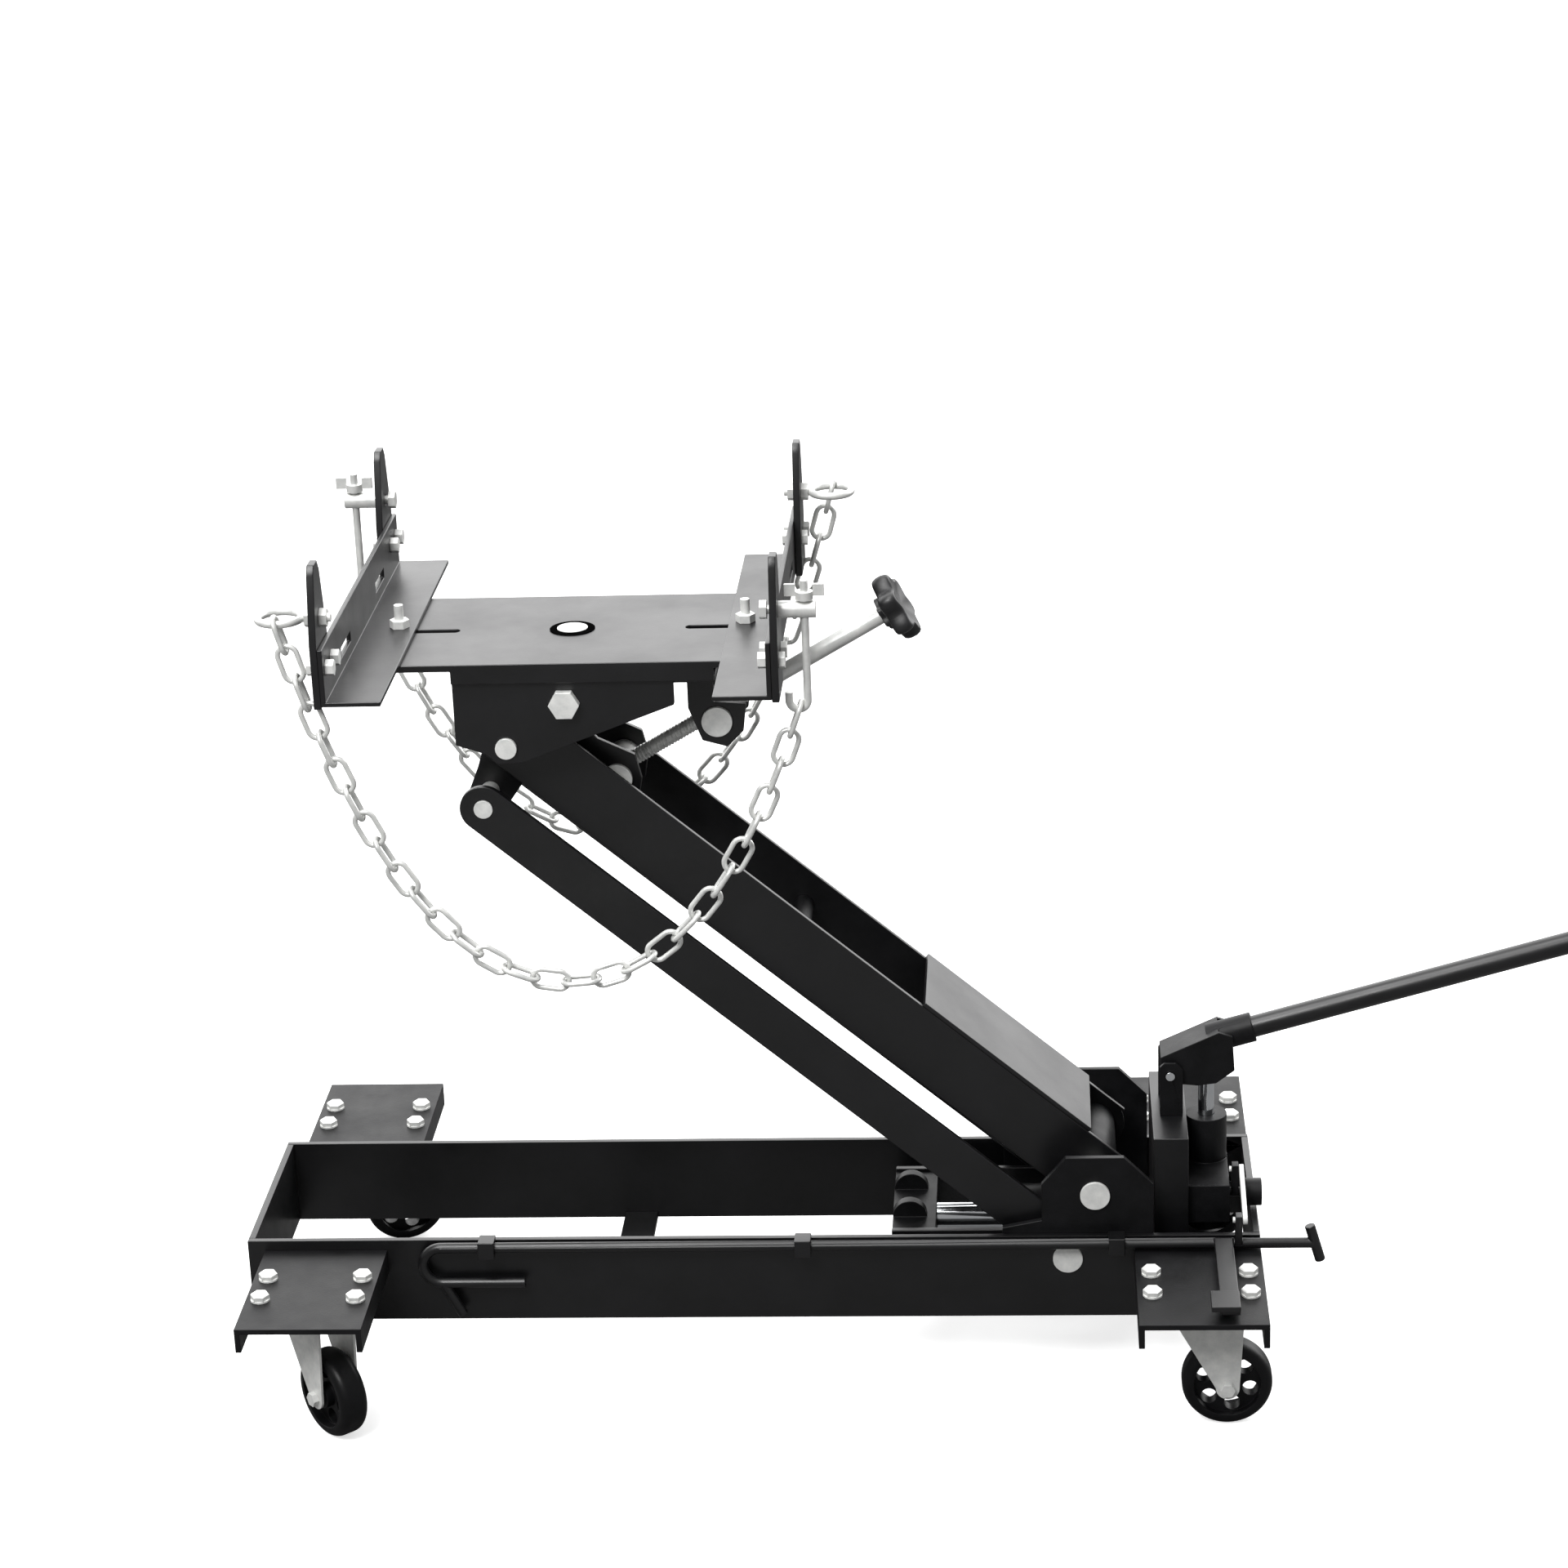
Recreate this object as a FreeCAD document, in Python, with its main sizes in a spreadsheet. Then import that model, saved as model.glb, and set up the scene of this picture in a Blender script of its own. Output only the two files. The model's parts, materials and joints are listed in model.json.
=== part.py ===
"""Low-profile floor jack with a tilting load table, lifted by a hydraulic ram.

Rails on four swivel casters carry a pump unit and a lift arm. The arm and a pair
of level links make a parallelogram, so the head stays level while it rises. On
the head a cradle tilts fore and aft on a screw, and the table rocks sideways on
the cradle. Chains and posts on the table hold the load.

Frame: +X towards the pump handle, +Z up, Y = 0 is the centre plane, and Z = 0 is
the floor. Lengths are in millimetres and angles in degrees. Positions along X are
counted from the front end of the rails, and ORIGIN_X moves them to the frame.
"""
import FreeCAD, Part
import Sketcher
import math
import os
from FreeCAD import Placement, Rotation, Vector

doc = FreeCAD.newDocument("floor_jack")
sheet = doc.addObject("Spreadsheet::Sheet", "Sizes")


# ---------------------------------------------------------------- sizes and formulas
class Size:
    """A length or angle that knows its value and its formula in the sheet's cells."""

    def __init__(self, value, formula):
        self.value = float(value)
        self.formula = formula

    def __add__(self, other):
        return Size(self.value + number(other), f"({self.formula} + {text(other)})")

    def __radd__(self, other):
        return Size(number(other) + self.value, f"({text(other)} + {self.formula})")

    def __sub__(self, other):
        return Size(self.value - number(other), f"({self.formula} - {text(other)})")

    def __rsub__(self, other):
        return Size(number(other) - self.value, f"({text(other)} - {self.formula})")

    def __mul__(self, other):
        return Size(self.value * number(other), f"({self.formula} * {text(other)})")

    def __rmul__(self, other):
        return Size(number(other) * self.value, f"({text(other)} * {self.formula})")

    def __truediv__(self, other):
        return Size(self.value / number(other), f"({self.formula} / {text(other)})")

    def __neg__(self):
        return Size(-self.value, f"(0 - {self.formula})")


def number(item):
    """The plain value of a Size or a number."""
    return item.value if isinstance(item, Size) else float(item)


def text(item):
    """The formula of a Size, or a number written out."""
    return item.formula if isinstance(item, Size) else f"{float(item):.6f}"


def sine(angle):
    return Size(math.sin(math.radians(number(angle))), f"sin({text(angle)})")


def cosine(angle):
    return Size(math.cos(math.radians(number(angle))), f"cos({text(angle)})")


def bearing(along, up):
    """Angle above the X axis of a direction."""
    value = math.degrees(math.atan2(number(up), number(along)))
    return Size(value, f"(atan2({text(up)}; {text(along)}) / 1 deg)")


def distance(along, up):
    return Size(math.hypot(number(along), number(up)), f"hypot({text(along)}; {text(up)})")


def size(alias, value, note):
    """Write one driving dimension in the sheet and give back its Size."""
    size.row += 1
    sheet.set(f"A{size.row}", note)
    sheet.set(f"B{size.row}", str(value))
    sheet.setAlias(f"B{size.row}", alias)
    return Size(value, f"Sizes.{alias}")


size.row = 0

# Frame rails and plates
rail_length = size("rail_length", 880, "length of the side rails")
rail_height = size("rail_height", 77, "height of the side rails")
rail_bottom = size("rail_bottom", 60, "ground clearance under the rails")
rail_wall = size("rail_wall", 6, "thickness of the rails and cross plates")
frame_width = size("frame_width", 200, "width over the outer faces of the rails")
tie_front = size("tie_front", 310, "front edge of the bottom tie bar")
tie_width = size("tie_width", 30, "width of the bottom tie bar")
weld_gap = size("weld_gap", 0.1, "fit-up gap of parts that slide between the rails")

# Caster plates and casters
plate_length = size("plate_length", 108, "caster plate along the jack")
plate_reach = size("plate_reach", 144, "caster plate outwards from the rail")
plate_wall = size("plate_wall", 5, "caster plate thickness")
plate_drop = size("plate_drop", 9, "caster plate top below the rail top")
plate_flange = size("plate_flange", 22, "turned-down flange of the caster plate")
front_inset = size("front_inset", 15, "front caster plate behind the rail end")
bolt_pitch_long = size("bolt_pitch_long", 82, "caster bolts along the jack")
bolt_pitch_wide = size("bolt_pitch_wide", 38, "caster bolts across the jack")
bolt_radius = size("bolt_radius", 4, "caster bolt shank radius")
bolt_head = size("bolt_head", 7.6, "caster bolt head, centre to corner")
bolt_head_height = size("bolt_head_height", 5.5, "caster bolt head height")
bolt_clearance = size("bolt_clearance", 0.1, "radial gap of fixed bolts and pins in their holes")
mount_length = size("mount_length", 95, "caster top plate along the jack")
mount_width = size("mount_width", 60, "caster top plate across the jack")
mount_wall = size("mount_wall", 4, "caster top plate thickness")
swivel_gap = size("swivel_gap", 1, "gap between the caster top plate and its raceway")
raceway_radius = size("raceway_radius", 25, "swivel raceway radius")
raceway_height = size("raceway_height", 9, "swivel raceway height")
kingpin_radius = size("kingpin_radius", 6, "swivel pin radius")
running_gap = size("running_gap", 0.05, "radial clearance of turning pins and shafts")
wheel_radius = size("wheel_radius", 38.3, "caster wheel radius")
wheel_width = size("wheel_width", 26, "caster wheel width")
wheel_round = size("wheel_round", 8, "rounding of the wheel tread")
wheel_hole_radius = size("wheel_hole_radius", 6.8, "lightening hole radius")
wheel_hole_circle = size("wheel_hole_circle", 20.6, "radius of the lightening hole circle")
caster_trail = size("caster_trail", 22, "wheel axle behind the swivel axis")
fork_wall = size("fork_wall", 2.5, "caster fork leg thickness")
fork_gap = size("fork_gap", 3, "gap between wheel and fork leg")
fork_leg_top = size("fork_leg_top", 25, "half width of a fork leg at its crown")
fork_foot = size("fork_foot", 10, "radius of a fork leg's foot")
axle_radius = size("axle_radius", 4, "wheel axle radius")

# Lift arm, level links and their pins
pivot_x = size("pivot_x", 739, "arm pivot behind the front of the rails")
pivot_height = size("pivot_height", 173, "arm pivot above the floor")
arm_length = size("arm_length", 636.9, "arm pivot to head pin")
arm_rise = size("arm_rise", 40.5, "arm angle above level")
arm_depth = size("arm_depth", 57, "depth of the arm side plates")
arm_wall = size("arm_wall", 5, "thickness of the arm side plates")
arm_width = size("arm_width", 110, "width over the arm side plates")
cover_start = size("cover_start", 30, "arm cover, lower end from the pivot")
cover_end = size("cover_end", 215, "arm cover, upper end from the pivot")
cover_wall = size("cover_wall", 4, "arm cover thickness")
tie_tube_place = size("tie_tube_place", 330, "arm tie tube from the pivot")
tie_tube_radius = size("tie_tube_radius", 9, "arm tie tube radius")
hub_radius = size("hub_radius", 20, "arm hub radius")
pivot_radius = size("pivot_radius", 10, "arm pivot pin radius")
head_pin_radius = size("head_pin_radius", 9, "head pin radius")
link_offset_x = size("link_offset_x", -24, "link pins ahead of the arm pins, negative to the front")
link_offset_z = size("link_offset_z", -57, "link pins below the arm pins, negative downwards")
link_depth = size("link_depth", 40, "depth of the level links")
link_wall = size("link_wall", 6, "thickness of the level links")
link_inner = size("link_inner", 74, "inner face of each level link from the centre plane")
link_pin_radius = size("link_pin_radius", 8, "level link pin radius")
pin_head_radius = size("pin_head_radius", 12.8, "head radius of the arm's pivot pin and the lower link pins")
bracket_wall = size("bracket_wall", 6, "pivot bracket thickness")
pin_proud = size("pin_proud", 3, "how far pin ends stand proud")

# Ram, crosshead and yoke
horn_length = size("horn_length", 62, "arm pivot to horn pin")
horn_lead = size("horn_lead", 12.75, "horn forward of straight down")
horn_pin_radius = size("horn_pin_radius", 6, "horn pin radius")
horn_eye = size("horn_eye", 11, "radius of the horn around its pin")
slot_gap = size("slot_gap", 1.5, "free play of the horn pins in the yoke slots")
ram_height = size("ram_height", 105, "ram axis above the floor")
ram_front = size("ram_front", 676, "front face of the ram cylinder")
ram_radius = size("ram_radius", 30, "ram cylinder radius")
ram_bore = size("ram_bore", 22, "ram bore radius")
piston_radius = size("piston_radius", 14, "ram piston rod radius")
piston_head_place = size("piston_head_place", 700, "front face of the piston head")
piston_head_length = size("piston_head_length", 20, "length of the piston head")
gland_length = size("gland_length", 12, "length of the gland nut")
crosshead_front = size("crosshead_front", 562, "front face of the crosshead")
crosshead_length = size("crosshead_length", 38, "crosshead along the jack")
crosshead_height = size("crosshead_height", 34, "crosshead height")
crosshead_lobe = size("crosshead_lobe", 15, "radius of the crosshead's upper lobes")
yoke_gap = size("yoke_gap", 3, "gap between arm side plate and yoke plate")
yoke_wall = size("yoke_wall", 6, "yoke plate thickness")
yoke_height = size("yoke_height", 40, "yoke plate height")

# Reservoir, pump and handle
reservoir_front = size("reservoir_front", 790, "front face of the reservoir")
reservoir_length = size("reservoir_length", 30, "reservoir along the jack")
reservoir_width = size("reservoir_width", 140, "reservoir across the jack")
reservoir_top = size("reservoir_top", 214, "reservoir top above the floor")
pump_radius = size("pump_radius", 18, "pump barrel radius")
pump_top = size("pump_top", 206, "pump barrel top above the floor")
pump_rod_radius = size("pump_rod_radius", 7, "pump plunger radius")
valve_block_width = size("valve_block_width", 62, "valve block, from the centre plane to the near side")
lever_x = size("lever_x", 806, "lever pivot behind the front of the rails")
lever_height = size("lever_height", 252, "lever pivot above the floor")
lever_reach = size("lever_reach", 32, "lever pivot to plunger pin")
lever_pin_drop = size("lever_pin_drop", 3, "plunger pin below the lever pivot")
lever_pin_radius = size("lever_pin_radius", 4, "lever pin radius")
lever_inside = size("lever_inside", 14, "lever cheek's inner face from the centre plane")
lever_wall = size("lever_wall", 4, "lever cheek thickness")
lever_gap = size("lever_gap", 1.5, "gap between lever cheek and bracket ear")
plunger_play = size("plunger_play", 0.7, "play of the plunger pin in its slot")
handle_rise = size("handle_rise", 15.7, "handle angle above level")
handle_start_x = size("handle_start_x", 840, "inner end of the handle tube")
handle_start_z = size("handle_start_z", 277, "inner end of the handle tube above the floor")
handle_length = size("handle_length", 1050, "handle tube length")
handle_radius = size("handle_radius", 9.5, "handle tube radius")
handle_wall = size("handle_wall", 2, "handle tube wall")
socket_length = size("socket_length", 40, "handle socket length")
socket_wall = size("socket_wall", 3.5, "handle socket wall")
grip_length = size("grip_length", 120, "handle grip length")
grip_wall = size("grip_wall", 4, "handle grip wall")
grip_cap = size("grip_cap", 4, "closed end of the handle grip")

# Release rod and valve
rod_height = size("rod_height", 134, "release rod above the floor")
rod_offset = size("rod_offset", 9, "release rod axis outside the rail's face")
rod_radius = size("rod_radius", 4.5, "release rod radius")
rod_front = size("rod_front", 172, "front end of the straight release rod")
rod_end = size("rod_end", 926, "rear end of the release rod")
crank_drop = size("crank_drop", 34, "release rod's folded leg below the rod")
crank_length = size("crank_length", 72, "length of the folded leg")
cross_bar_length = size("cross_bar_length", 34, "length of the release rod's cross bars")
cross_bar_lean = size("cross_bar_lean", 27, "lean of the front cross bar's foot to the rear")
grip_bar_lean = size("grip_bar_lean", 16, "lean of the rear cross bar's foot to the rear")
arm_up = size("arm_up", 22, "height of the release levers above their axes")
valve_y = size("valve_y", 45, "release valve, distance to the near side")
valve_height = size("valve_height", 151, "release valve above the floor")
valve_knob_radius = size("valve_knob_radius", 12, "release valve knob radius")
release_x = size("release_x", 864, "release levers behind the front of the rails")
pedal_x = size("pedal_x", 840, "front edge of the release pedal")
pedal_width = size("pedal_width", 16, "pedal arm width")
pedal_reach = size("pedal_reach", 128, "pedal reach outwards from the rod")

# Head, cradle and tilt screw
head_inner = size("head_inner", 28, "inner face of the head plates from the centre plane")
head_wall = size("head_wall", 6, "head plate thickness")
cradle_inner = size("cradle_inner", 82, "inner face of the cradle plates from the centre plane")
cradle_wall = size("cradle_wall", 6, "cradle plate thickness")
low_x = size("low_x", 85, "lower trunnion behind the head pin")
low_drop = size("low_drop", 48, "lower trunnion below the head pin")
high_x = size("high_x", 172, "upper trunnion behind the head pin")
high_rise = size("high_rise", 2, "upper trunnion above the head pin")
trunnion_radius = size("trunnion_radius", 13, "trunnion radius")
screw_radius = size("screw_radius", 7, "tilt screw radius")
screw_play = size("screw_play", 1.5, "radial play of the screw in the upper trunnion")
screw_tail = size("screw_tail", 20, "tilt screw below the lower trunnion")
screw_length = size("screw_length", 262, "lower trunnion to the knob's face")
knob_radius = size("knob_radius", 30, "star knob radius")
knob_depth = size("knob_depth", 22, "star knob depth")
cradle_bolt_x = size("cradle_bolt_x", 51, "cradle bolt behind the head pin")
cradle_bolt_rise = size("cradle_bolt_rise", 39, "cradle bolt above the head pin")
cradle_bolt_head = size("cradle_bolt_head", 13, "cradle bolt head, centre to corner")
cradle_bolt_radius = size("cradle_bolt_radius", 6, "cradle bolt shank radius")
side_knob_radius = size("side_knob_radius", 28, "side tilt knob radius")
side_knob_depth = size("side_knob_depth", 18, "side tilt knob depth")
side_knob_stand = size("side_knob_stand", 20, "side tilt knob's neck")

# Table, angle irons, posts and chains
table_height = size("table_height", 75, "table top above the head pin")
table_offset = size("table_offset", 50, "table centre behind the head pin")
table_length = size("table_length", 320, "table along the jack")
table_width = size("table_width", 185, "table across the jack")
table_wall = size("table_wall", 6, "table plate thickness")
rock_gap = size("rock_gap", 6, "gap between table and cradle plates for the side tilt")
hinge_radius = size("hinge_radius", 3.5, "side tilt hinge pin radius")
skirt_depth = size("skirt_depth", 11, "depth of the table's side skirts")
skirt_wall = size("skirt_wall", 3, "thickness of the table's side skirts")
skirt_gap = size("skirt_gap", 1.5, "gap between skirt and cradle plate")
slot_length = size("slot_length", 56, "length of the table's slots")
slot_radius = size("slot_radius", 4.5, "half width of the table's slots")
slot_inset = size("slot_inset", 8, "table end to the slot's end")
iron_length = size("iron_length", 388, "angle irons across the jack")
iron_flange = size("iron_flange", 48, "width of each iron's two legs")
iron_wall = size("iron_wall", 4, "thickness of the irons")
iron_spread = size("iron_spread", 362, "distance over the two irons")
iron_bolt_place = size("iron_bolt_place", 34, "iron bolt from the iron's outer face")
iron_bolt_radius = size("iron_bolt_radius", 4, "iron bolt radius")
post_bolt_radius = size("post_bolt_radius", 4, "post bolt radius")
post_wall = size("post_wall", 6, "post thickness")
post_width = size("post_width", 50, "post width at its foot")
post_top_width = size("post_top_width", 26, "post width at its top")
post_height = size("post_height", 114, "post height above the table")
anchor_rise = size("anchor_rise", 68, "eyebolts and hook carriers above the table")
ring_radius = size("ring_radius", 17.5, "eyebolt ring, centre line radius")
ring_wire = size("ring_wire", 3.2, "eyebolt wire radius")
hook_offset = size("hook_offset", 21, "hook rod outside the post")
hook_drop = size("hook_drop", 84, "hook bend below its carrier")
hook_radius = size("hook_radius", 7.5, "hook bend radius")
hook_wire = size("hook_wire", 3.2, "hook rod radius")
anchor_radius = size("anchor_radius", 3.6, "anchor bolt shank radius")
chain_length = size("chain_length", 731, "chain from ring to hook")
chain_pitch = size("chain_pitch", 25.4, "pitch of the chain links")
chain_wire = size("chain_wire", 2, "chain wire radius")
chain_width = size("chain_width", 16, "outer width of a chain link")
chain_slack = size("chain_slack", 1.2, "play of each link on the next")

# Places worked out from the sizes
rail_top = rail_bottom + rail_height
outer = frame_width / 2
inner = outer - rail_wall
span = inner - weld_gap
head_x = pivot_x - arm_length * cosine(arm_rise)
head_height = pivot_height + arm_length * sine(arm_rise)
link_low_x = pivot_x + link_offset_x
link_low_height = pivot_height + link_offset_z
link_high_x = head_x + link_offset_x
link_high_height = head_height + link_offset_z
handle_tip_x = (handle_start_x + (handle_length + grip_cap) * cosine(handle_rise)
                + (handle_radius + grip_wall) * sine(handle_rise))
ORIGIN_X = handle_tip_x / -2
table_x = head_x + table_offset
table_top = head_height + table_height
table_under = table_top - table_wall
caster_y = outer + plate_reach / 2
plate_top = rail_top - plate_drop
mount_top = plate_top - plate_wall
fork_top = mount_top - mount_wall - swivel_gap
link_outer = link_inner + link_wall
arm_outside = arm_width / 2
arm_inside = arm_outside - arm_wall
yoke_inside = arm_outside + yoke_gap
yoke_outside = yoke_inside + yoke_wall
cradle_outer = cradle_inner + cradle_wall
head_outer = head_inner + head_wall
low_trunnion_x = head_x + low_x
low_trunnion_height = head_height - low_drop
high_trunnion_x = head_x + high_x
high_trunnion_height = head_height + high_rise
screw_rise = bearing(high_x - low_x, high_rise + low_drop)
ON_Z = Rotation()
ON_X = Rotation(Vector(0, 1, 0), 90)
ON_Y = Rotation(Vector(1, 0, 0), -90)
TURNS = {"X": ON_X, "Y": ON_Y, "Z": ON_Z}


# ---------------------------------------------------------------- helpers
def bind(obj, prop, value):
    """Tie one property of an object to the sheet."""
    obj.setExpression(prop, text(value))


def move(obj, x=0, y=0, z=0):
    """Tie an object's position to the sheet."""
    bind(obj, "Placement.Base.x", x)
    bind(obj, "Placement.Base.y", y)
    bind(obj, "Placement.Base.z", z)
    return obj


def block(x, y, z):
    """A box from three (low, high) pairs."""
    obj = doc.addObject("Part::Box", "block")
    for prop, (low, high) in zip(("Length", "Width", "Height"), (x, y, z)):
        bind(obj, prop, high - low)
    return move(obj, x[0], y[0], z[0])


def place_on(obj, axis, low, centre):
    """Stand a turned primitive on an axis, from its low end."""
    obj.Placement = Placement(Vector(), TURNS[axis])
    first, second = centre
    spots = {"X": (low, first, second), "Y": (first, low, second), "Z": (first, second, low)}
    return move(obj, *spots[axis])


def bar(axis, radius, low, high, centre):
    """A round bar along an axis, centre given by the other two coordinates."""
    obj = doc.addObject("Part::Cylinder", "bar")
    bind(obj, "Radius", radius)
    bind(obj, "Height", high - low)
    return place_on(obj, axis, low, centre)


def hexagon(axis, corner, low, high, centre):
    """A hexagonal bar along an axis."""
    obj = doc.addObject("Part::Prism", "hexagon")
    obj.Polygon = 6
    bind(obj, "Circumradius", corner)
    bind(obj, "Height", high - low)
    return place_on(obj, axis, low, centre)


def fuse(*pieces):
    obj = doc.addObject("Part::MultiFuse", "fused")
    obj.Shapes = list(pieces)
    obj.Refine = True
    return obj


def cut(base, *tools):
    """Remove tools from a piece."""
    obj = doc.addObject("Part::Cut", "cut")
    obj.Base = base
    obj.Tool = tools[0] if len(tools) == 1 else group(*tools)
    return obj


def group(*pieces):
    """Several separate solids held as one object."""
    obj = doc.addObject("Part::Compound", "group")
    obj.Links = list(pieces)
    return obj


def origin_plane(body, role):
    """One of a body's own origin planes."""
    return next(feature for feature in body.Origin.OriginFeatures if feature.Role == role)


def sketch_loop(sketch, outline):
    """Draw a closed outline whose corners are tied to the sheet."""
    first = sketch.GeometryCount
    count = len(outline)
    spots = [Vector(number(u), number(v), 0) for u, v in outline]
    for index, spot in enumerate(spots):
        sketch.addGeometry(Part.LineSegment(spot, spots[(index + 1) % count]), False)
    for index in range(count):
        after = first + (index + 1) % count
        sketch.addConstraint(Sketcher.Constraint("Coincident", first + index, 2, after, 1))
    for index, (u, v) in enumerate(outline):
        for kind, value in (("DistanceX", u), ("DistanceY", v)):
            place = Sketcher.Constraint(kind, -1, 1, first + index, 1, number(value))
            tied = sketch.addConstraint(place)
            sketch.setExpression(f"Constraints[{tied}]", text(value))


def sketch_hole(sketch, u, v, radius):
    """Draw a round hole whose centre and radius are tied to the sheet."""
    circle = Part.Circle(Vector(number(u), number(v), 0), Vector(0, 0, 1), number(radius))
    index = sketch.addGeometry(circle, False)
    for kind, value in (("DistanceX", u), ("DistanceY", v)):
        place = Sketcher.Constraint(kind, -1, 1, index, 3, number(value))
        tied = sketch.addConstraint(place)
        sketch.setExpression(f"Constraints[{tied}]", text(value))
    tied = sketch.addConstraint(Sketcher.Constraint("Radius", index, number(radius)))
    sketch.setExpression(f"Constraints[{tied}]", text(radius))


def plate(plane, low, high, outline, holes=()):
    """A flat plate cut to an outline, standing between two planes."""
    body = doc.addObject("PartDesign::Body", "plate")
    sketch = body.newObject("Sketcher::SketchObject", "outline")
    sketch.AttachmentSupport = [(origin_plane(body, f"{plane}_Plane"), "")]
    sketch.MapMode = "FlatFace"
    sketch_loop(sketch, outline)
    for u, v, radius in holes:
        sketch_hole(sketch, u, v, radius)
    pad = body.newObject("PartDesign::Pad", "thickness")
    pad.Profile = sketch
    pad.Reversed = plane == "XZ"
    bind(pad, "Length", high - low)
    across = {"XZ": "y", "XY": "z", "YZ": "x"}[plane]
    bind(body, f"Placement.Base.{across}", low)
    return body


def mirrored_y(make, near, far):
    """The near and far copies of a plate-like piece between two distances from the centre plane."""
    return make(-far, -near), make(near, far)


def bolt(axis, head, shank, low, grip, high, centre, nut=True):
    """A bolt: head above the grip, shank through it and a nut under it. low is the shank's end."""
    pieces = [bar(axis, shank, low, high, centre)]
    pieces.append(hexagon(axis, head, grip[1], grip[1] + (high - grip[1]), centre))
    if nut:
        pieces.append(hexagon(axis, head, grip[0] - 4.5, grip[0], centre))
    return fuse(*pieces)


NODES = {}


def node(label, obj, x=0):
    """Name a finished sub-part and carry it to the frame's origin."""
    bind(obj, "Placement.Base.x", ORIGIN_X + x)
    obj.Label = label
    NODES[label] = obj
    return obj


def shaped(label, shape, turn=ON_Z, x=0, y=0, z=0):
    """A sub-part whose shape comes from Part's own functions, drawn about the origin."""
    obj = doc.addObject("Part::Feature", label)
    obj.Shape = shape
    obj.Placement = Placement(Vector(), turn)
    bind(obj, "Placement.Base.y", y)
    bind(obj, "Placement.Base.z", z)
    return node(label, obj, x)


def whole(*pieces):
    """One object of several, so that a node's own placement is free."""
    return group(*pieces)



# ---------------------------------------------------------------- chassis
def make_rails():
    """Two flat side rails with a bore for the level link's lower pin."""
    outline = [(0, rail_bottom), (rail_length, rail_bottom), (rail_length, rail_top), (0, rail_top)]
    hole = (link_low_x, link_low_height, link_pin_radius + bolt_clearance)

    def rail(low, high):
        return plate("XZ", low, high, outline, [hole])
    near, far = mirrored_y(rail, inner, outer)
    node("rail_near", near)
    node("rail_far", far)


def make_cross_members():
    """Front plate, bottom tie, pump seat and rear plate between the rails."""
    across = (-span, span)
    front = block((0, rail_wall), across, (rail_bottom, rail_top))
    tie = block((tie_front, tie_front + tie_width), across, (rail_bottom, rail_bottom + rail_wall))
    seat = block((reservoir_front, reservoir_front + reservoir_length), across, (rail_bottom, rail_bottom + rail_wall))
    rear = block((rail_length - rail_wall, rail_length), across, (rail_bottom, rail_top))
    node("cross_members", whole(front, tie, seat, rear))


def caster_centres():
    """Swivel axes as (name, x, y, rest yaw)."""
    front = front_inset + plate_length / 2
    rear = rail_length - plate_length / 2
    return [("front_near", front, -caster_y, -48), ("front_far", front, caster_y, 20),
            ("rear_near", rear, -caster_y, 0), ("rear_far", rear, caster_y, -12)]


def caster_bolt_spots(x, y):
    """The four bolt centres of one caster."""
    for along in (-1, 1):
        for across in (-1, 1):
            yield x + bolt_pitch_long * along / 2, y + bolt_pitch_wide * across / 2


def caster_plate(x, y, side):
    """A plate with two turned-down flanges, drilled for the caster."""
    low_x = x - plate_length / 2
    high_x = x + plate_length / 2
    across = (outer, outer + plate_reach) if side > 0 else (-outer - plate_reach, -outer)
    deck = block((low_x, high_x), across, (mount_top, plate_top))
    flanges = [block(pair, across, (plate_top - plate_flange, plate_top))
               for pair in ((low_x, low_x + plate_wall), (high_x - plate_wall, high_x))]
    drills = [bar("Z", bolt_radius + bolt_clearance, mount_top - 1, plate_top + 1, spot)
              for spot in caster_bolt_spots(x, y)]
    return cut(fuse(deck, *flanges), *drills)


def make_caster_plates():
    """Caster plates, top plates and bolts, grouped by kind."""
    plates = {"front": [], "rear": []}
    mounts = []
    bolts = []
    for name, x, y, _ in caster_centres():
        side = 1 if name.endswith("far") else -1
        plates[name.split("_")[0]].append(caster_plate(x, y, side))
        top = block((x - mount_length / 2, x + mount_length / 2), (y - mount_width / 2, y + mount_width / 2),
                    (mount_top - mount_wall, mount_top))
        drills = [bar("Z", bolt_radius + bolt_clearance, mount_top - mount_wall - 1, mount_top + 1, spot)
                  for spot in caster_bolt_spots(x, y)]
        drills.append(bar("Z", kingpin_radius + running_gap, mount_top - mount_wall - 1, mount_top + 1, (x, y)))
        mounts.append(cut(top, *drills))
        for spot in caster_bolt_spots(x, y):
            bolts.append(bolt("Z", bolt_head, bolt_radius, mount_top - mount_wall - 8,
                              (mount_top - mount_wall, plate_top), plate_top + bolt_head_height, spot))
    node("caster_plates_front", whole(*plates["front"]))
    node("caster_plates_rear", whole(*plates["rear"]))
    node("caster_top_plates", whole(*mounts))
    node("caster_bolts", whole(*bolts))


def make_pivot_brackets():
    """Eight-sided ears inside the rails that carry the arm's pivot pin."""
    lobe = 50
    rise = 35
    front = pivot_x - 80
    outline = [(front, rail_bottom + 12), (pivot_x + lobe, rail_bottom + 12), (pivot_x + lobe, pivot_height + 10),
               (pivot_x + lobe / 2, pivot_height + rise), (pivot_x - lobe / 2, pivot_height + rise),
               (pivot_x - lobe + 4, pivot_height + 10), (pivot_x - lobe + 4, rail_top + 12), (front, rail_top + 5)]
    holes = [(pivot_x, pivot_height, pivot_radius + bolt_clearance),
             (link_low_x, link_low_height, link_pin_radius + bolt_clearance)]

    def bracket(low, high):
        return plate("XZ", low, high, outline, holes)
    node("pivot_brackets", whole(*mirrored_y(bracket, span - bracket_wall, span)))


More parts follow.
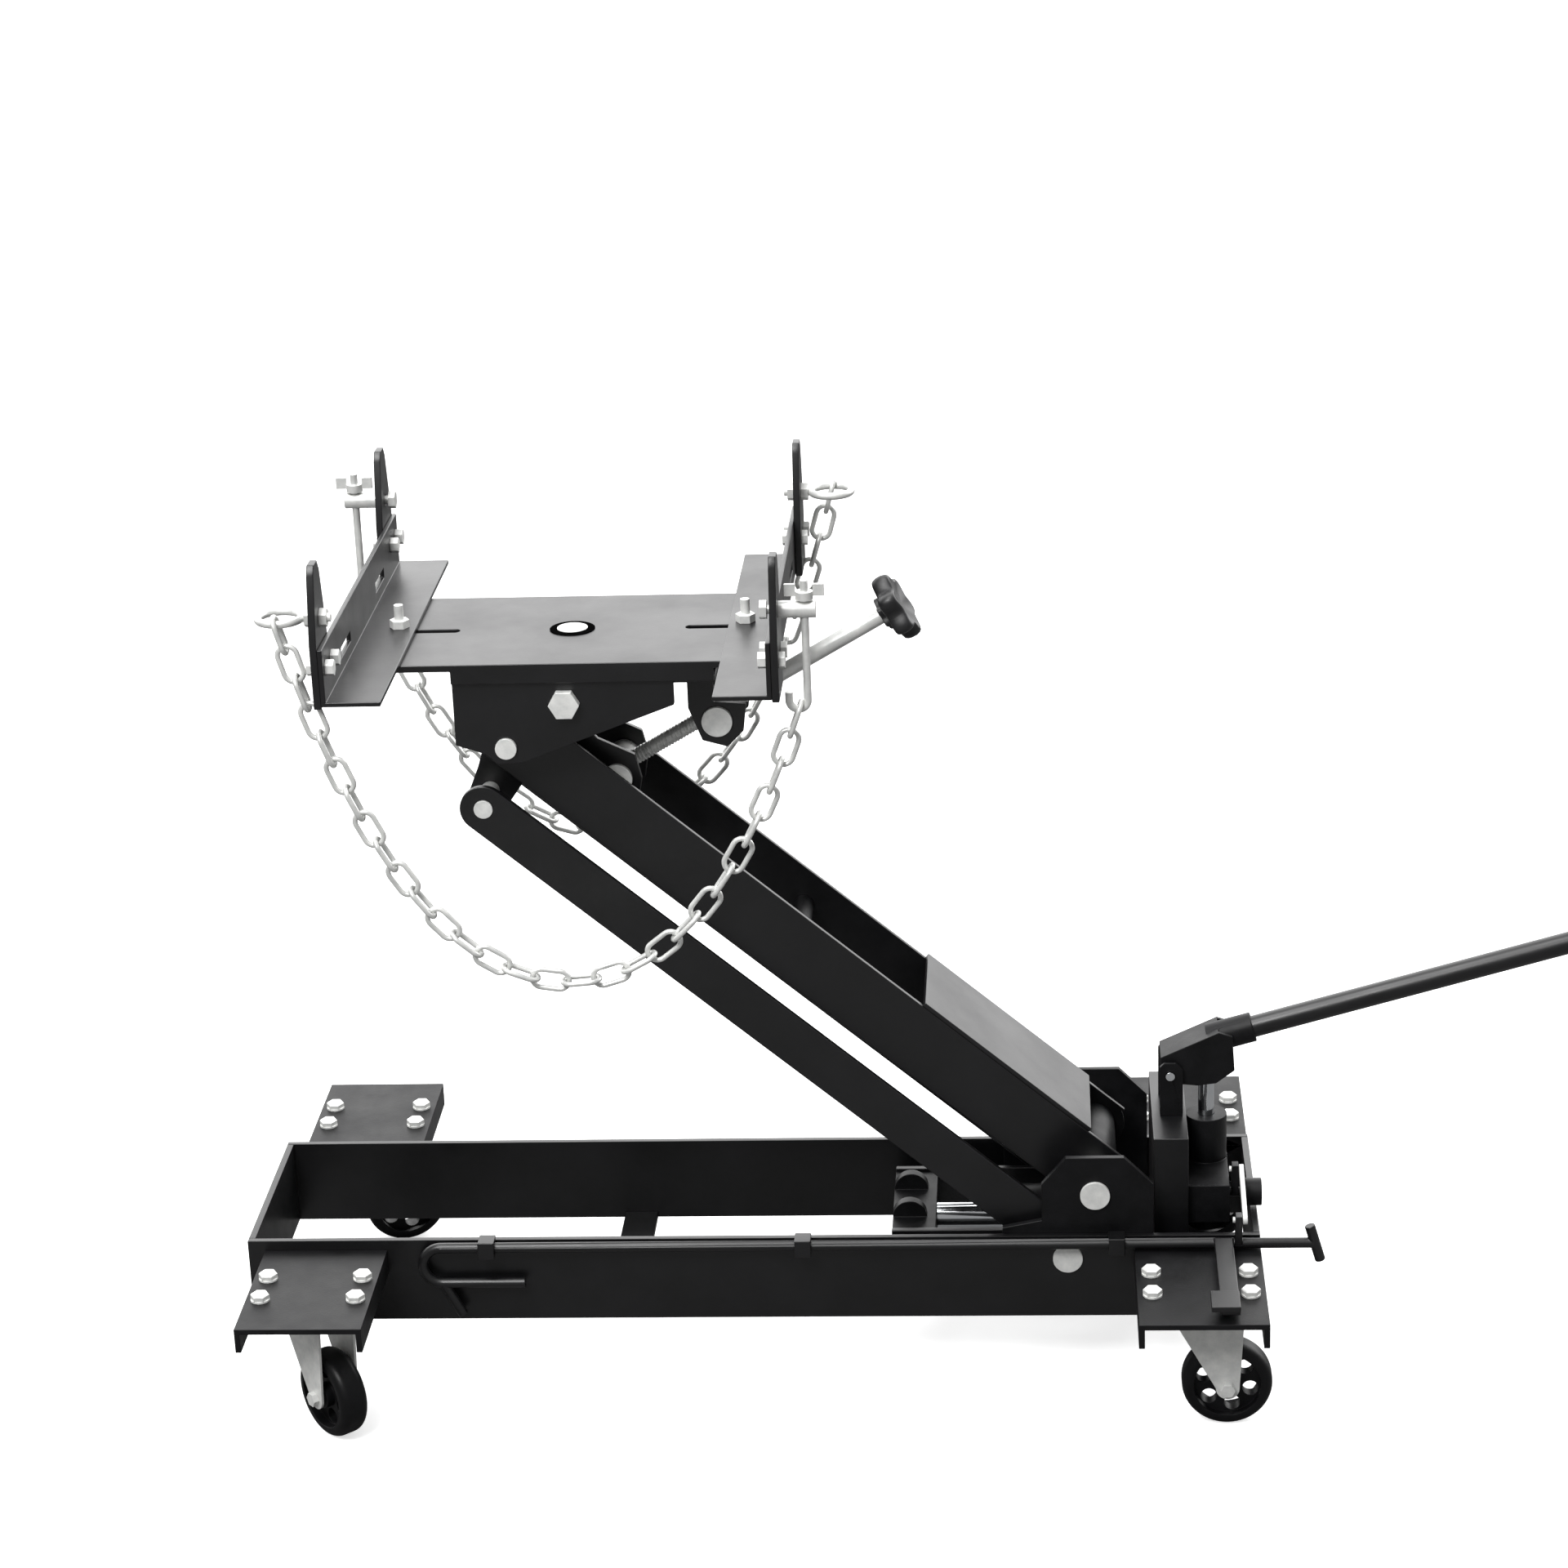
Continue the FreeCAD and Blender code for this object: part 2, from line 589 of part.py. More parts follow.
def make_chassis_pins():
    """The arm's pivot pin and the two stub pins of the level links."""
    pivot = bar("Y", pivot_radius, -span - pin_proud, span + pin_proud, (pivot_x, pivot_height))
    caps = [bar("Y", pin_head_radius, low, high, (pivot_x, pivot_height))
            for low, high in ((-span - pin_proud, -span), (span, span + pin_proud))]
    stubs = [fuse(bar("Y", link_pin_radius, shank[0], shank[1], (link_low_x, link_low_height)),
                  bar("Y", pin_head_radius, head[0], head[1], (link_low_x, link_low_height)))
             for shank, head in (((-outer - pin_proud, -link_inner + 1), (-outer - pin_proud, -outer)),
                                 ((link_inner - 1, outer + pin_proud), (outer, outer + pin_proud)))]
    node("chassis_pins", whole(fuse(pivot, *caps), *stubs))


def make_ram_cylinder():
    """Ram cylinder with a blind bore, and its gland nut."""
    axis_y_z = (0, ram_height)
    barrel = bar("X", ram_radius, ram_front, reservoir_front, axis_y_z)
    bore = bar("X", ram_bore + running_gap, ram_front - 1, reservoir_front - 6, axis_y_z)
    node("ram_cylinder", whole(cut(barrel, bore)))
    nut = hexagon("X", ram_radius - 1, ram_front - gland_length, ram_front, axis_y_z)
    neck = bar("X", ram_bore, ram_front, ram_front + 4, axis_y_z)
    passage = bar("X", piston_radius + running_gap, ram_front - gland_length - 1, ram_front + 5, axis_y_z)
    node("ram_gland", whole(cut(fuse(nut, neck), passage)))


def make_ram():
    """Piston, crosshead and the two slotted yoke plates that pull the arm's horn."""
    axis_y_z = (0, ram_height)
    rod = bar("X", piston_radius, crosshead_front + crosshead_length, piston_head_place, axis_y_z)
    head = bar("X", ram_bore, piston_head_place, piston_head_place + piston_head_length, axis_y_z)
    node("ram_piston", whole(fuse(rod, head)))
    end = crosshead_front + crosshead_length
    low = ram_height - crosshead_height / 2
    high = ram_height + crosshead_height / 2
    beam = block((crosshead_front, end), (-yoke_inside, yoke_inside), (low, high))
    lobes = [bar("Y", crosshead_lobe, y, y + 10, (crosshead_front + crosshead_lobe, high)) for y in (-32, 22)]
    node("crosshead", whole(fuse(beam, *lobes)))
    horn_x = pivot_x - horn_length * sine(horn_lead)
    horn_low = pivot_height - horn_length
    slot_x = (horn_x - horn_pin_radius - slot_gap, horn_x + horn_pin_radius + slot_gap)
    slot_z = (horn_low - horn_pin_radius - slot_gap, horn_low + horn_pin_radius + slot_gap + 9)
    outline = [(crosshead_front, low - 3), (slot_x[1] + 5, low - 3), (slot_x[1] + 5, low - 3 + yoke_height),
               (crosshead_front, low - 3 + yoke_height)]

    def yoke(near, far):
        return cut(plate("XZ", near, far, outline), block(slot_x, (near - 1, far + 1), slot_z))
    node("yoke_plates", whole(*mirrored_y(yoke, yoke_inside, yoke_outside)))


def make_pump():
    """Reservoir, pump barrel with its valve block, and the lever's bracket."""
    back = reservoir_front + reservoir_length
    half = reservoir_width / 2
    tank = block((reservoir_front, back), (-half, half), (rail_bottom + rail_wall, reservoir_top))
    node("reservoir", whole(tank))
    pump_x = lever_x + lever_reach
    barrel = bar("Z", pump_radius, rail_bottom + 40, pump_top, (pump_x, 0))
    block_end = pump_x + pump_radius
    valves = block((back, block_end), (-valve_block_width, pump_radius), (rail_bottom + 70, rail_bottom + 105))
    bore = bar("Z", pump_rod_radius + running_gap, rail_bottom + 80, pump_top + 1, (pump_x, 0))
    seat = bar("X", 4 + running_gap, block_end - 14, block_end + 1, (-valve_y, valve_height))
    node("pump_body", whole(cut(fuse(barrel, valves), bore, seat)))
    ear_low = lever_inside + lever_wall + lever_gap
    ear_high = ear_low + lever_wall
    outline = [(lever_x - 9, reservoir_top), (lever_x + 11, reservoir_top), (lever_x + 11, lever_height + 6),
               (lever_x + 5, lever_height + 12), (lever_x - 5, lever_height + 12), (lever_x - 9, lever_height + 8)]
    hole = (lever_x, lever_height, lever_pin_radius + bolt_clearance)

    def ear(low, high):
        return plate("XZ", low, high, outline, [hole])
    node("pump_bracket", whole(*mirrored_y(ear, ear_low, ear_high)))
    pin = bar("Y", lever_pin_radius, -ear_high - 2, ear_high + 2, (lever_x, lever_height))
    node("lever_pivot_pin", whole(pin))


def make_plunger():
    """Pump plunger with a slotted head for the lever's pin."""
    pump_x = lever_x + lever_reach
    pin_z = lever_height - lever_pin_drop
    stem = bar("Z", pump_rod_radius, rail_bottom + 112, pin_z - 9, (pump_x, 0))
    head = block((pump_x - 15, pump_x + 11), (-9, 9), (pin_z - 9, pin_z + 9))
    reach = lever_pin_radius + plunger_play
    slot = block((pump_x - reach - 4.5, pump_x + reach), (-10, 10), (pin_z - reach, pin_z + reach))
    node("pump_plunger", whole(cut(fuse(stem, head), slot)))


def make_lever():
    """Handle socket: two cheeks, a bent top strip, the socket tube and the plunger pin."""
    outline = [(lever_x - 8, lever_height - 10), (lever_x + 4, lever_height - 10), (lever_x + 24, lever_height - 12),
               (lever_x + 40, lever_height - 10), (lever_x + 56, lever_height + 2), (lever_x + 54, lever_height + 34),
               (lever_x + 42, lever_height + 38), (lever_x - 8, lever_height + 15)]
    pin_x = lever_x + lever_reach
    pin_z = lever_height - lever_pin_drop
    holes = [(lever_x, lever_height, lever_pin_radius + running_gap)]

    def cheek(low, high):
        return plate("XZ", low, high, outline, holes)
    cheeks = mirrored_y(cheek, lever_inside, lever_inside + lever_wall)
    strip = [(lever_x - 8, lever_height + 11), (lever_x + 42, lever_height + 34), (lever_x + 42, lever_height + 38),
             (lever_x - 8, lever_height + 15)]
    top = plate("XZ", -lever_inside, lever_inside, strip)
    pin = bar("Y", lever_pin_radius, -lever_inside, lever_inside, (pin_x, pin_z))
    tube = sloped_bar(handle_radius + socket_wall, 0, socket_length)
    bore = sloped_bar(handle_radius + bolt_clearance, 0, socket_length + 1)
    node("lever_socket", whole(cut(fuse(*cheeks, top, pin, tube), bore)))


def sloped_bar(radius, start, end):
    """A round bar on the handle's axis, between two distances from its inner end."""
    obj = doc.addObject("Part::Cylinder", "sloped")
    bind(obj, "Radius", radius)
    bind(obj, "Height", end - start)
    obj.Placement = Placement(Vector(), Rotation(Vector(0, 1, 0), 90 - number(handle_rise)))
    bind(obj, "Placement.Rotation.Angle", 90 - handle_rise)
    x = handle_start_x + start * cosine(handle_rise)
    z = handle_start_z + start * sine(handle_rise)
    return move(obj, x, 0, z)


def make_handle():
    """Steel handle tube with a grip sleeve."""
    tube = cut(sloped_bar(handle_radius, 0, handle_length),
               sloped_bar(handle_radius - handle_wall, -1, handle_length + 1))
    node("handle_tube", whole(tube))
    sleeve = cut(sloped_bar(handle_radius + grip_wall, handle_length - grip_length, handle_length + grip_cap),
                 sloped_bar(handle_radius + bolt_clearance, handle_length - grip_length - 1, handle_length))
    node("handle_grip", whole(sleeve))


# ---------------------------------------------------------------- release rod
def make_release():
    """Release rod with cross bars and pedal, its clips, the valve and the link between them."""
    y = -outer - rod_offset
    centre = (y, rod_height)
    straight = bar("X", rod_radius, rod_front, rod_end, centre)
    bend_radius = crank_drop / 2
    bend = doc.addObject("Part::Torus", "bend")
    bind(bend, "Radius1", bend_radius)
    bind(bend, "Radius2", rod_radius)
    bend.Angle3 = 180
    bend.Placement = Placement(Vector(), Rotation(Vector(0, 1, 0), -90) * Rotation(Vector(1, 0, 0), 90))
    move(bend, rod_front, y, rod_height - bend_radius)
    leg_z = rod_height - crank_drop
    leg = bar("X", rod_radius, rod_front, rod_front + crank_length, (y, leg_z))
    bars = [leaning_bar(rod_front, y, leg_z, cross_bar_lean, 0),
            leaning_bar(rod_end, y, rod_height, grip_bar_lean, 0.5)]
    pedal_end = pedal_x + pedal_width
    arm = block((pedal_x, pedal_end), (y - pedal_reach, y), (rod_height - 1, rod_height + 5))
    pad = block((pedal_x - 8, pedal_end), (y - pedal_reach - 6, y - pedal_reach + 24),
                (rod_height + 5, rod_height + 10))
    lever = block((release_x - 6, release_x), (y - 5, y + 5), (rod_height, rod_height + arm_up + 5))
    hole = bar("X", 2.5 + running_gap, release_x - 7, release_x + 1, (y, rod_height + arm_up))
    node("release_rod", whole(cut(fuse(straight, bend, leg, *bars, arm, pad, lever), hole)))
    clips = []
    for x in (205, 480, 750):
        base = block((x, x + 14), (-outer - rod_offset - 8, -outer), (rod_height - 8, rod_height + 8))
        clips.append(cut(base, bar("X", rod_radius + running_gap, x - 1, x + 15, centre)))
    node("rod_clips", whole(*clips))
    pump_end = lever_x + lever_reach + pump_radius
    valve_centre = (-valve_y, valve_height)
    spindle = bar("X", 4, pump_end - 12, release_x + 20, valve_centre)
    knob = bar("X", valve_knob_radius, release_x + 6, release_x + 20, valve_centre)
    arm = block((release_x - 6, release_x), (-valve_y - 5, -valve_y + 5),
                (valve_height, valve_height + arm_up + 5))
    hole = bar("X", 2.5 + running_gap, release_x - 7, release_x + 1, (-valve_y, valve_height + arm_up))
    node("release_valve", whole(cut(fuse(spindle, knob, arm), hole)))
    run = distance(outer + rod_offset - valve_y, valve_height - rod_height)
    lean = bearing(outer + rod_offset - valve_y, valve_height - rod_height)
    rod = doc.addObject("Part::Box", "link_bar")
    bind(rod, "Length", 4)
    bind(rod, "Width", run)
    bind(rod, "Height", 8)
    rod.Placement = Placement(Vector(), Rotation(Vector(1, 0, 0), number(lean)))
    bind(rod, "Placement.Rotation.Angle", lean)
    move(rod, release_x + 0.5, y + 4 * sine(lean), rod_height + arm_up - 4 * cosine(lean))
    ends = [bar("X", 4, release_x + 0.5, release_x + 4.5, spot)
            for spot in ((y, rod_height + arm_up), (-valve_y, valve_height + arm_up))]
    pins = [bar("X", 2.5, release_x - 8, release_x + 0.5, spot)
            for spot in ((y, rod_height + arm_up), (-valve_y, valve_height + arm_up))]
    node("release_link", whole(fuse(rod, *ends, *pins)))


def leaning_bar(x, y, z, lean, share):
    """A short cross bar on the release rod, its foot leaning back, with a share of it above the rod."""
    obj = doc.addObject("Part::Cylinder", "cross_bar")
    bind(obj, "Radius", rod_radius)
    bind(obj, "Height", cross_bar_length)
    obj.Placement = Placement(Vector(), Rotation(Vector(0, 1, 0), 180 - number(lean)))
    bind(obj, "Placement.Rotation.Angle", 180 - lean)
    above = cross_bar_length * share
    return move(obj, x - above * sine(lean), y, z + above * cosine(lean))


# ---------------------------------------------------------------- arm and links
def tilted(obj, label):
    """Turn a piece drawn on the lying arm up to the arm's rest angle about the pivot."""
    holder = whole(obj)
    holder.Placement = Placement(Vector(), Rotation(Vector(0, 1, 0), number(arm_rise)))
    bind(holder, "Placement.Rotation.Angle", arm_rise)
    bind(holder, "Placement.Base.z", pivot_height)
    return node(label, holder, pivot_x)


def make_arm():
    """Two side plates with horns, a top cover, hub and tie tubes, and the horn pins."""
    half = arm_depth / 2
    horn_turn = arm_rise - horn_lead
    horn_x = horn_length * sine(horn_turn)
    horn_z = -horn_length * cosine(horn_turn)
    horn_normal_x = horn_eye * cosine(horn_turn)
    horn_normal_z = horn_eye * sine(horn_turn)
    root = [(-half, -half), (-arm_length, -half), (-arm_length, half), (half / 2, half)]
    horn = [(-horn_normal_x * 2, -horn_normal_z * 2), (horn_x - horn_normal_x, horn_z - horn_normal_z),
            (horn_x + horn_normal_x, horn_z + horn_normal_z), (horn_normal_x * 2, horn_normal_z * 2)]

    def side(low, high):
        web = plate("XZ", low, high, root)
        ends = [bar("Y", half, low, high, (-arm_length, 0)), bar("Y", half, low, high, (0, 0))]
        lobe = plate("XZ", low, high, horn)
        eye = bar("Y", horn_eye, low, high, (horn_x, horn_z))
        holes = [bar("Y", pivot_radius + running_gap, low - 1, high + 1, (0, 0)),
                 bar("Y", head_pin_radius + running_gap, low - 1, high + 1, (-arm_length, 0)),
                 bar("Y", horn_pin_radius + bolt_clearance, low - 1, high + 1, (horn_x, horn_z))]
        return cut(fuse(web, *ends, lobe, eye), *holes)
    near, far = mirrored_y(side, arm_inside, arm_outside)
    tilted(near, "arm_plate_near")
    tilted(far, "arm_plate_far")
    cover = block((-cover_end, -cover_start), (-arm_outside, arm_outside), (half, half + cover_wall))
    tilted(cover, "arm_cover")
    hub = cut(bar("Y", hub_radius, -arm_inside, arm_inside, (0, 0)),
              bar("Y", pivot_radius + running_gap, -arm_inside - 1, arm_inside + 1, (0, 0)))
    tie = bar("Y", tie_tube_radius, -arm_inside, arm_inside, (-tie_tube_place, 0))
    tilted(whole(hub, tie), "arm_tubes")
    pins = [bar("Y", horn_pin_radius, low, high, (horn_x, horn_z))
            for low, high in ((-yoke_outside - 1, -arm_inside), (arm_inside, yoke_outside + 1))]
    tilted(whole(*pins), "horn_pins")


def make_links():
    """Level links, parallel to the arm, and the pin through their upper ends."""
    half = link_depth / 2

    def link(low, high):
        web = block((-arm_length, 0), (low, high), (-half, half))
        ends = [bar("Y", half, low, high, (x, 0)) for x in (-arm_length, 0)]
        holes = [bar("Y", link_pin_radius + running_gap, low - 1, high + 1, (0, 0)),
                 bar("Y", link_pin_radius + bolt_clearance, low - 1, high + 1, (-arm_length, 0))]
        return cut(fuse(web, *ends), *holes)
    links = whole(*mirrored_y(link, link_inner, link_outer))
    links.Placement = Placement(Vector(), Rotation(Vector(0, 1, 0), number(arm_rise)))
    bind(links, "Placement.Rotation.Angle", arm_rise)
    bind(links, "Placement.Base.z", link_low_height)
    node("level_links", links, link_low_x)
    pin = bar("Y", link_pin_radius, -link_outer - 1, link_outer + 1, (link_high_x, link_high_height))
    node("link_upper_pin", whole(pin))


# ---------------------------------------------------------------- head and cradle
def from_head(points):
    """Outline corners given from the head pin."""
    return [(head_x + x, head_height + z) for x, z in points]


def make_head():
    """Head plates kept level by the links, their tubes and the head pin."""
    link_x, link_z = link_offset_x, link_offset_z
    outline = from_head([(link_x - 9, link_z + 22), (link_x - 18, link_z), (link_x - 9, link_z - 17),
                         (link_x + 12, link_z - 17), (link_x + 31, link_z + 10), (low_x - 18, -low_drop - 19),
                         (low_x + 17, -low_drop - 22), (low_x + 21, -low_drop), (low_x + 16, -low_drop + 21),
                         (low_x - 15, -low_drop + 36), (45, 19), (-15, 19), (-23, -2)])
    holes = [(head_x, head_height, head_pin_radius + bolt_clearance),
             (link_high_x, link_high_height, link_pin_radius + running_gap),
             (low_trunnion_x, low_trunnion_height, trunnion_radius + running_gap)]

    def side(low, high):
        return plate("XZ", low, high, outline, holes)
    node("head_plates", whole(*mirrored_y(side, head_inner, head_outer)))
    tubes = []
    for x, z, radius, gap in ((head_x, head_height, head_pin_radius, bolt_clearance),
                              (link_high_x, link_high_height, link_pin_radius, running_gap)):
        outside = bar("Y", radius + 5, -head_inner, head_inner, (x, z))
        tubes.append(cut(outside, bar("Y", radius + gap, -head_inner - 1, head_inner + 1, (x, z))))
    node("head_tubes", whole(*tubes))
    pin = bar("Y", head_pin_radius, -cradle_outer - pin_proud, cradle_outer + pin_proud, (head_x, head_height))
    node("head_pin", whole(pin))


def trunnion(x, z, play):
    """A cross bar with a hole for the tilt screw."""
    body = bar("Y", trunnion_radius, -head_outer - pin_proud, head_outer + pin_proud, (x, z))
    hole = doc.addObject("Part::Cylinder", "screw_hole")
    bind(hole, "Radius", screw_radius + play)
    bind(hole, "Height", 4 * trunnion_radius)
    hole.Placement = Placement(Vector(), Rotation(Vector(0, 1, 0), 90 - number(screw_rise)))
    bind(hole, "Placement.Rotation.Angle", 90 - screw_rise)
    move(hole, x - 2 * trunnion_radius * cosine(screw_rise), 0, z - 2 * trunnion_radius * sine(screw_rise))
    return whole(cut(body, hole))


def screw_bar(radius, start, end):
    """A round bar on the tilt screw's axis, between two distances from the lower trunnion."""
    obj = doc.addObject("Part::Cylinder", "screw_bar")
    bind(obj, "Radius", radius)
    bind(obj, "Height", end - start)
    obj.Placement = Placement(Vector(), Rotation(Vector(0, 1, 0), 90 - number(screw_rise)))
    bind(obj, "Placement.Rotation.Angle", 90 - screw_rise)
    return move(obj, low_trunnion_x + start * cosine(screw_rise), 0, low_trunnion_height + start * sine(screw_rise))


def star(radius, hub, depth):
    """A five-lobed knob along Z as a plain shape, its face at the origin."""
    body = Part.makeCylinder(hub, depth)
    for index in range(5):
        turn = math.radians(72 * index)
        lobe = Part.makeCylinder(radius * 0.3, depth * 0.7, Vector(radius * 0.7 * math.cos(turn),
                                 radius * 0.7 * math.sin(turn), depth * 0.3))
        body = body.fuse(lobe)
    return body.removeSplitter()


def make_tilt_screw():
    """Both trunnions, the tilt screw and its star knob."""
    node("lower_trunnion", trunnion(low_trunnion_x, low_trunnion_height, running_gap))
    node("upper_trunnion", trunnion(high_trunnion_x, high_trunnion_height, screw_play))
    node("tilt_screw", whole(screw_bar(screw_radius, -screw_tail, screw_length)))
    knob = star(number(knob_radius), number(knob_radius) * 0.72, number(knob_depth))
    turn = Rotation(Vector(0, 1, 0), 90 - number(screw_rise))
    shaped("tilt_knob", knob, turn, low_trunnion_x + screw_length * cosine(screw_rise), 0,
           low_trunnion_height + screw_length * sine(screw_rise))


def make_cradle():
    """Cradle side plates, deck with trunnion lugs, its bolts and hinge pin, and the side knob."""
    top = table_height - table_wall - rock_gap
    tail = high_x - 30
    outline = from_head([(-42, top), (-42, 3), (-15, -6), (-8, -14), (12, -13), (tail, top - 27), (tail, top)])
    bolt_x = head_x + cradle_bolt_x
    bolt_z = head_height + cradle_bolt_rise
    holes = [(head_x, head_height, head_pin_radius + running_gap), (bolt_x, bolt_z, cradle_bolt_radius + bolt_clearance)]

    def side(low, high):
        return plate("XZ", low, high, outline, holes)
    node("cradle_plates", whole(*mirrored_y(side, cradle_inner, cradle_outer)))
    deck_top = head_height + top - 4
    deck = block((head_x - 42, head_x + high_x + 4), (-cradle_inner, cradle_inner), (deck_top - 6, deck_top))
    knuckles = [hinge_knuckle(head_x + x, deck_top, table_under - 0.6, bolt_clearance) for x in (-20, 104)]
    node("cradle_deck", whole(fuse(deck, *knuckles)))
    lug = from_head([(high_x - 24, top - 10), (high_x - 24, 14), (high_x - 13, high_rise - 17),
                     (high_x + 8, high_rise - 23), (high_x + 22, high_rise - 9), (high_x + 25, high_rise + 15),
                     (high_x - 2, high_rise + 17), (high_x - 2, top - 10)])
    hole = (high_trunnion_x, high_trunnion_height, trunnion_radius + running_gap)

    def ear(low, high):
        return plate("XZ", low, high, lug, [hole])
    node("trunnion_lugs", whole(*mirrored_y(ear, head_inner, head_outer)))
    shank = bar("Y", cradle_bolt_radius, -cradle_outer, cradle_outer + side_knob_stand + side_knob_depth,
                (bolt_x, bolt_z))
    head = hexagon("Y", cradle_bolt_head, -cradle_outer - 8, -cradle_outer, (bolt_x, bolt_z))
    rock_z = table_under - 5
    pin = bar("X", hinge_radius, head_x - 22, head_x + 126, (0, rock_z))
    node("cradle_pins", whole(fuse(shank, head), pin))
    stand = number(side_knob_stand)
    bore = number(cradle_bolt_radius) + number(running_gap)
    knob = Part.makeCylinder(number(side_knob_radius) * 0.45, stand)
    grip = star(number(side_knob_radius), number(side_knob_radius) * 0.72, number(side_knob_depth))
    grip.translate(Vector(0, 0, stand))
    knob = knob.fuse(grip).cut(Part.makeCylinder(bore, stand + number(side_knob_depth)))
    shaped("side_knob", knob, ON_Y, bolt_x, cradle_outer, bolt_z)


def hinge_knuckle(x, low, high, gap):
    """A block under the table, bored for the side tilt hinge pin."""
    body = block((x, x + 20), (-8, 8), (low, high))
    return cut(body, bar("X", hinge_radius + gap, x - 1, x + 21, (0, table_under - 5)))


# ---------------------------------------------------------------- table
def slotted(x, z_low, z_high):
    """The cutter for one round-ended slot along X."""
    ends = (x + slot_radius, x + slot_length - slot_radius)
    web = block(ends, (-slot_radius, slot_radius), (z_low, z_high))
    rounds = [bar("Z", slot_radius, z_low, z_high, (end, 0)) for end in ends]
    return fuse(web, *rounds)


def make_table():
    """Table plate with two slots, side skirts and hinge knuckles."""
    low_end = table_x - table_length / 2
    high_end = table_x + table_length / 2
    deck = block((low_end, high_end), (-table_width / 2, table_width / 2), (table_under, table_top))
    skirt_in = cradle_outer + skirt_gap
    skirts = [block((head_x - 42, head_x + high_x + 4), pair, (table_under - skirt_depth, table_under))
              for pair in ((-skirt_in - skirt_wall, -skirt_in), (skirt_in, skirt_in + skirt_wall))]
    slots = [slotted(x, table_under - 1, table_top + 1)
             for x in (low_end + slot_inset, high_end - slot_inset - slot_length)]
    hole = bar("Z", 9 + bolt_clearance, table_under - 1, table_top + 1, (table_x, 0))
    knuckle_low = table_under - rock_gap - 4 + 0.6
    knuckles = [hinge_knuckle(head_x + x, knuckle_low, table_under, running_gap) for x in (1, 83)]
    node("table_plate", whole(fuse(cut(deck, hole, *slots), *skirts, *knuckles)))


def iron(side):
    """An angle iron across the table; side is -1 in front and 1 behind."""
    edge = table_x + iron_spread * side / 2
    flat = (edge, edge + iron_flange) if side < 0 else (edge - iron_flange, edge)
    wall = (edge, edge + iron_wall) if side < 0 else (edge - iron_wall, edge)
    across = (-iron_length / 2, iron_length / 2)
    lower = block(flat, across, (table_top, table_top + iron_wall))
    upright = block(wall, across, (table_top, table_top + iron_flange))
    cutters = []
    for y in (-111, 66):
        cutters.append(block((wall[0] - 1, wall[1] + 1), (y, y + 45), (table_top + 14, table_top + 23)))
    for across in (-1, 1):
        for spot in post_bolt_spots(across):
            cutters.append(bar("X", post_bolt_radius + bolt_clearance, wall[0] - 1, wall[1] + 1, spot))
    bolt_x = edge - side * iron_bolt_place
    cutters.append(bar("Z", iron_bolt_radius + bolt_clearance, table_top - 1, table_top + iron_wall + 1, (bolt_x, 0)))
    return cut(fuse(lower, upright), *cutters)


def post_bolt_spots(across):
    """Centres of one post's two bolts, as (y, z)."""
    centre = across * (iron_length - post_width) / 2
    return [(centre + shift, table_top + 30) for shift in (-13, 13)]


def corners():
    """The four posts as (side along X, side along Y)."""
    return [(-1, -1), (-1, 1), (1, -1), (1, 1)]


def corner_place(side):
    """Outer face of an iron's upright."""
    return table_x + iron_spread * side / 2


def post(side, across):
    """A flat tapered post bolted outside an iron's upright."""
    face = corner_place(side)
    low, high = (face, face + post_wall) if side > 0 else (face - post_wall, face)
    centre = across * (iron_length - post_width) / 2
    foot = post_width / 2
    tip = post_top_width / 2
    outline = [(centre - foot, table_top - 2), (centre + foot, table_top - 2), (centre + foot, table_top + 52),
               (centre + tip, table_top + post_height - 8), (centre + tip - 6, table_top + post_height),
               (centre - tip + 6, table_top + post_height), (centre - tip, table_top + post_height - 8),
               (centre - foot, table_top + 52)]
    holes = [(centre, table_top + anchor_rise, anchor_radius + 1 + bolt_clearance)]
    holes += [(y, z, post_bolt_radius + bolt_clearance) for y, z in post_bolt_spots(across)]
    return plate("YZ", low, high, outline, holes)


def make_table_fittings():
    """Irons, posts and all the table's bolts."""
    node("angle_irons", whole(iron(-1), iron(1)))
    node("posts", whole(*[post(side, across) for side, across in corners()]))
    bolts = []
    for side in (-1, 1):
        x = corner_place(side) - side * iron_bolt_place
        bolts.append(fuse(bar("Z", iron_bolt_radius, table_under - 6, table_top + iron_wall + 20, (x, 0)),
                          hexagon("Z", 8.5, table_top + iron_wall, table_top + iron_wall + 7, (x, 0)),
                          bar("Z", 10, table_under - 4, table_under, (x, 0))))
    for side, across in corners():
        face = corner_place(side)
        thick = post_wall + iron_wall
        outside = (face + post_wall, face + post_wall + 5) if side > 0 else (face - post_wall - 5, face - post_wall)
        inside = (face - iron_wall - 7, face - iron_wall) if side > 0 else (face + iron_wall, face + iron_wall + 7)
        for spot in post_bolt_spots(across):
            low = min(number(outside[0]), number(inside[0]))
            start = inside[0] if number(inside[0]) == low else outside[0]
            bolts.append(fuse(bar("X", post_bolt_radius, start, start + thick + 12, spot), hexagon("X", 7, *outside, spot),
                              hexagon("X", 7, *inside, spot)))
    cap = fuse(bar("Z", 9, table_under - 1, table_top + 1.5, (table_x, 0)),
               bar("Z", 13, table_top, table_top + 1.5, (table_x, 0)))
    bolts.append(cap)
    node("table_bolts", whole(*bolts))


def anchor_spot(side, across):
    """Outer face of a post and the height and width of its anchor."""
    face = corner_place(side) + post_wall * side
    return face, across * (iron_length - post_width) / 2, table_top + anchor_rise


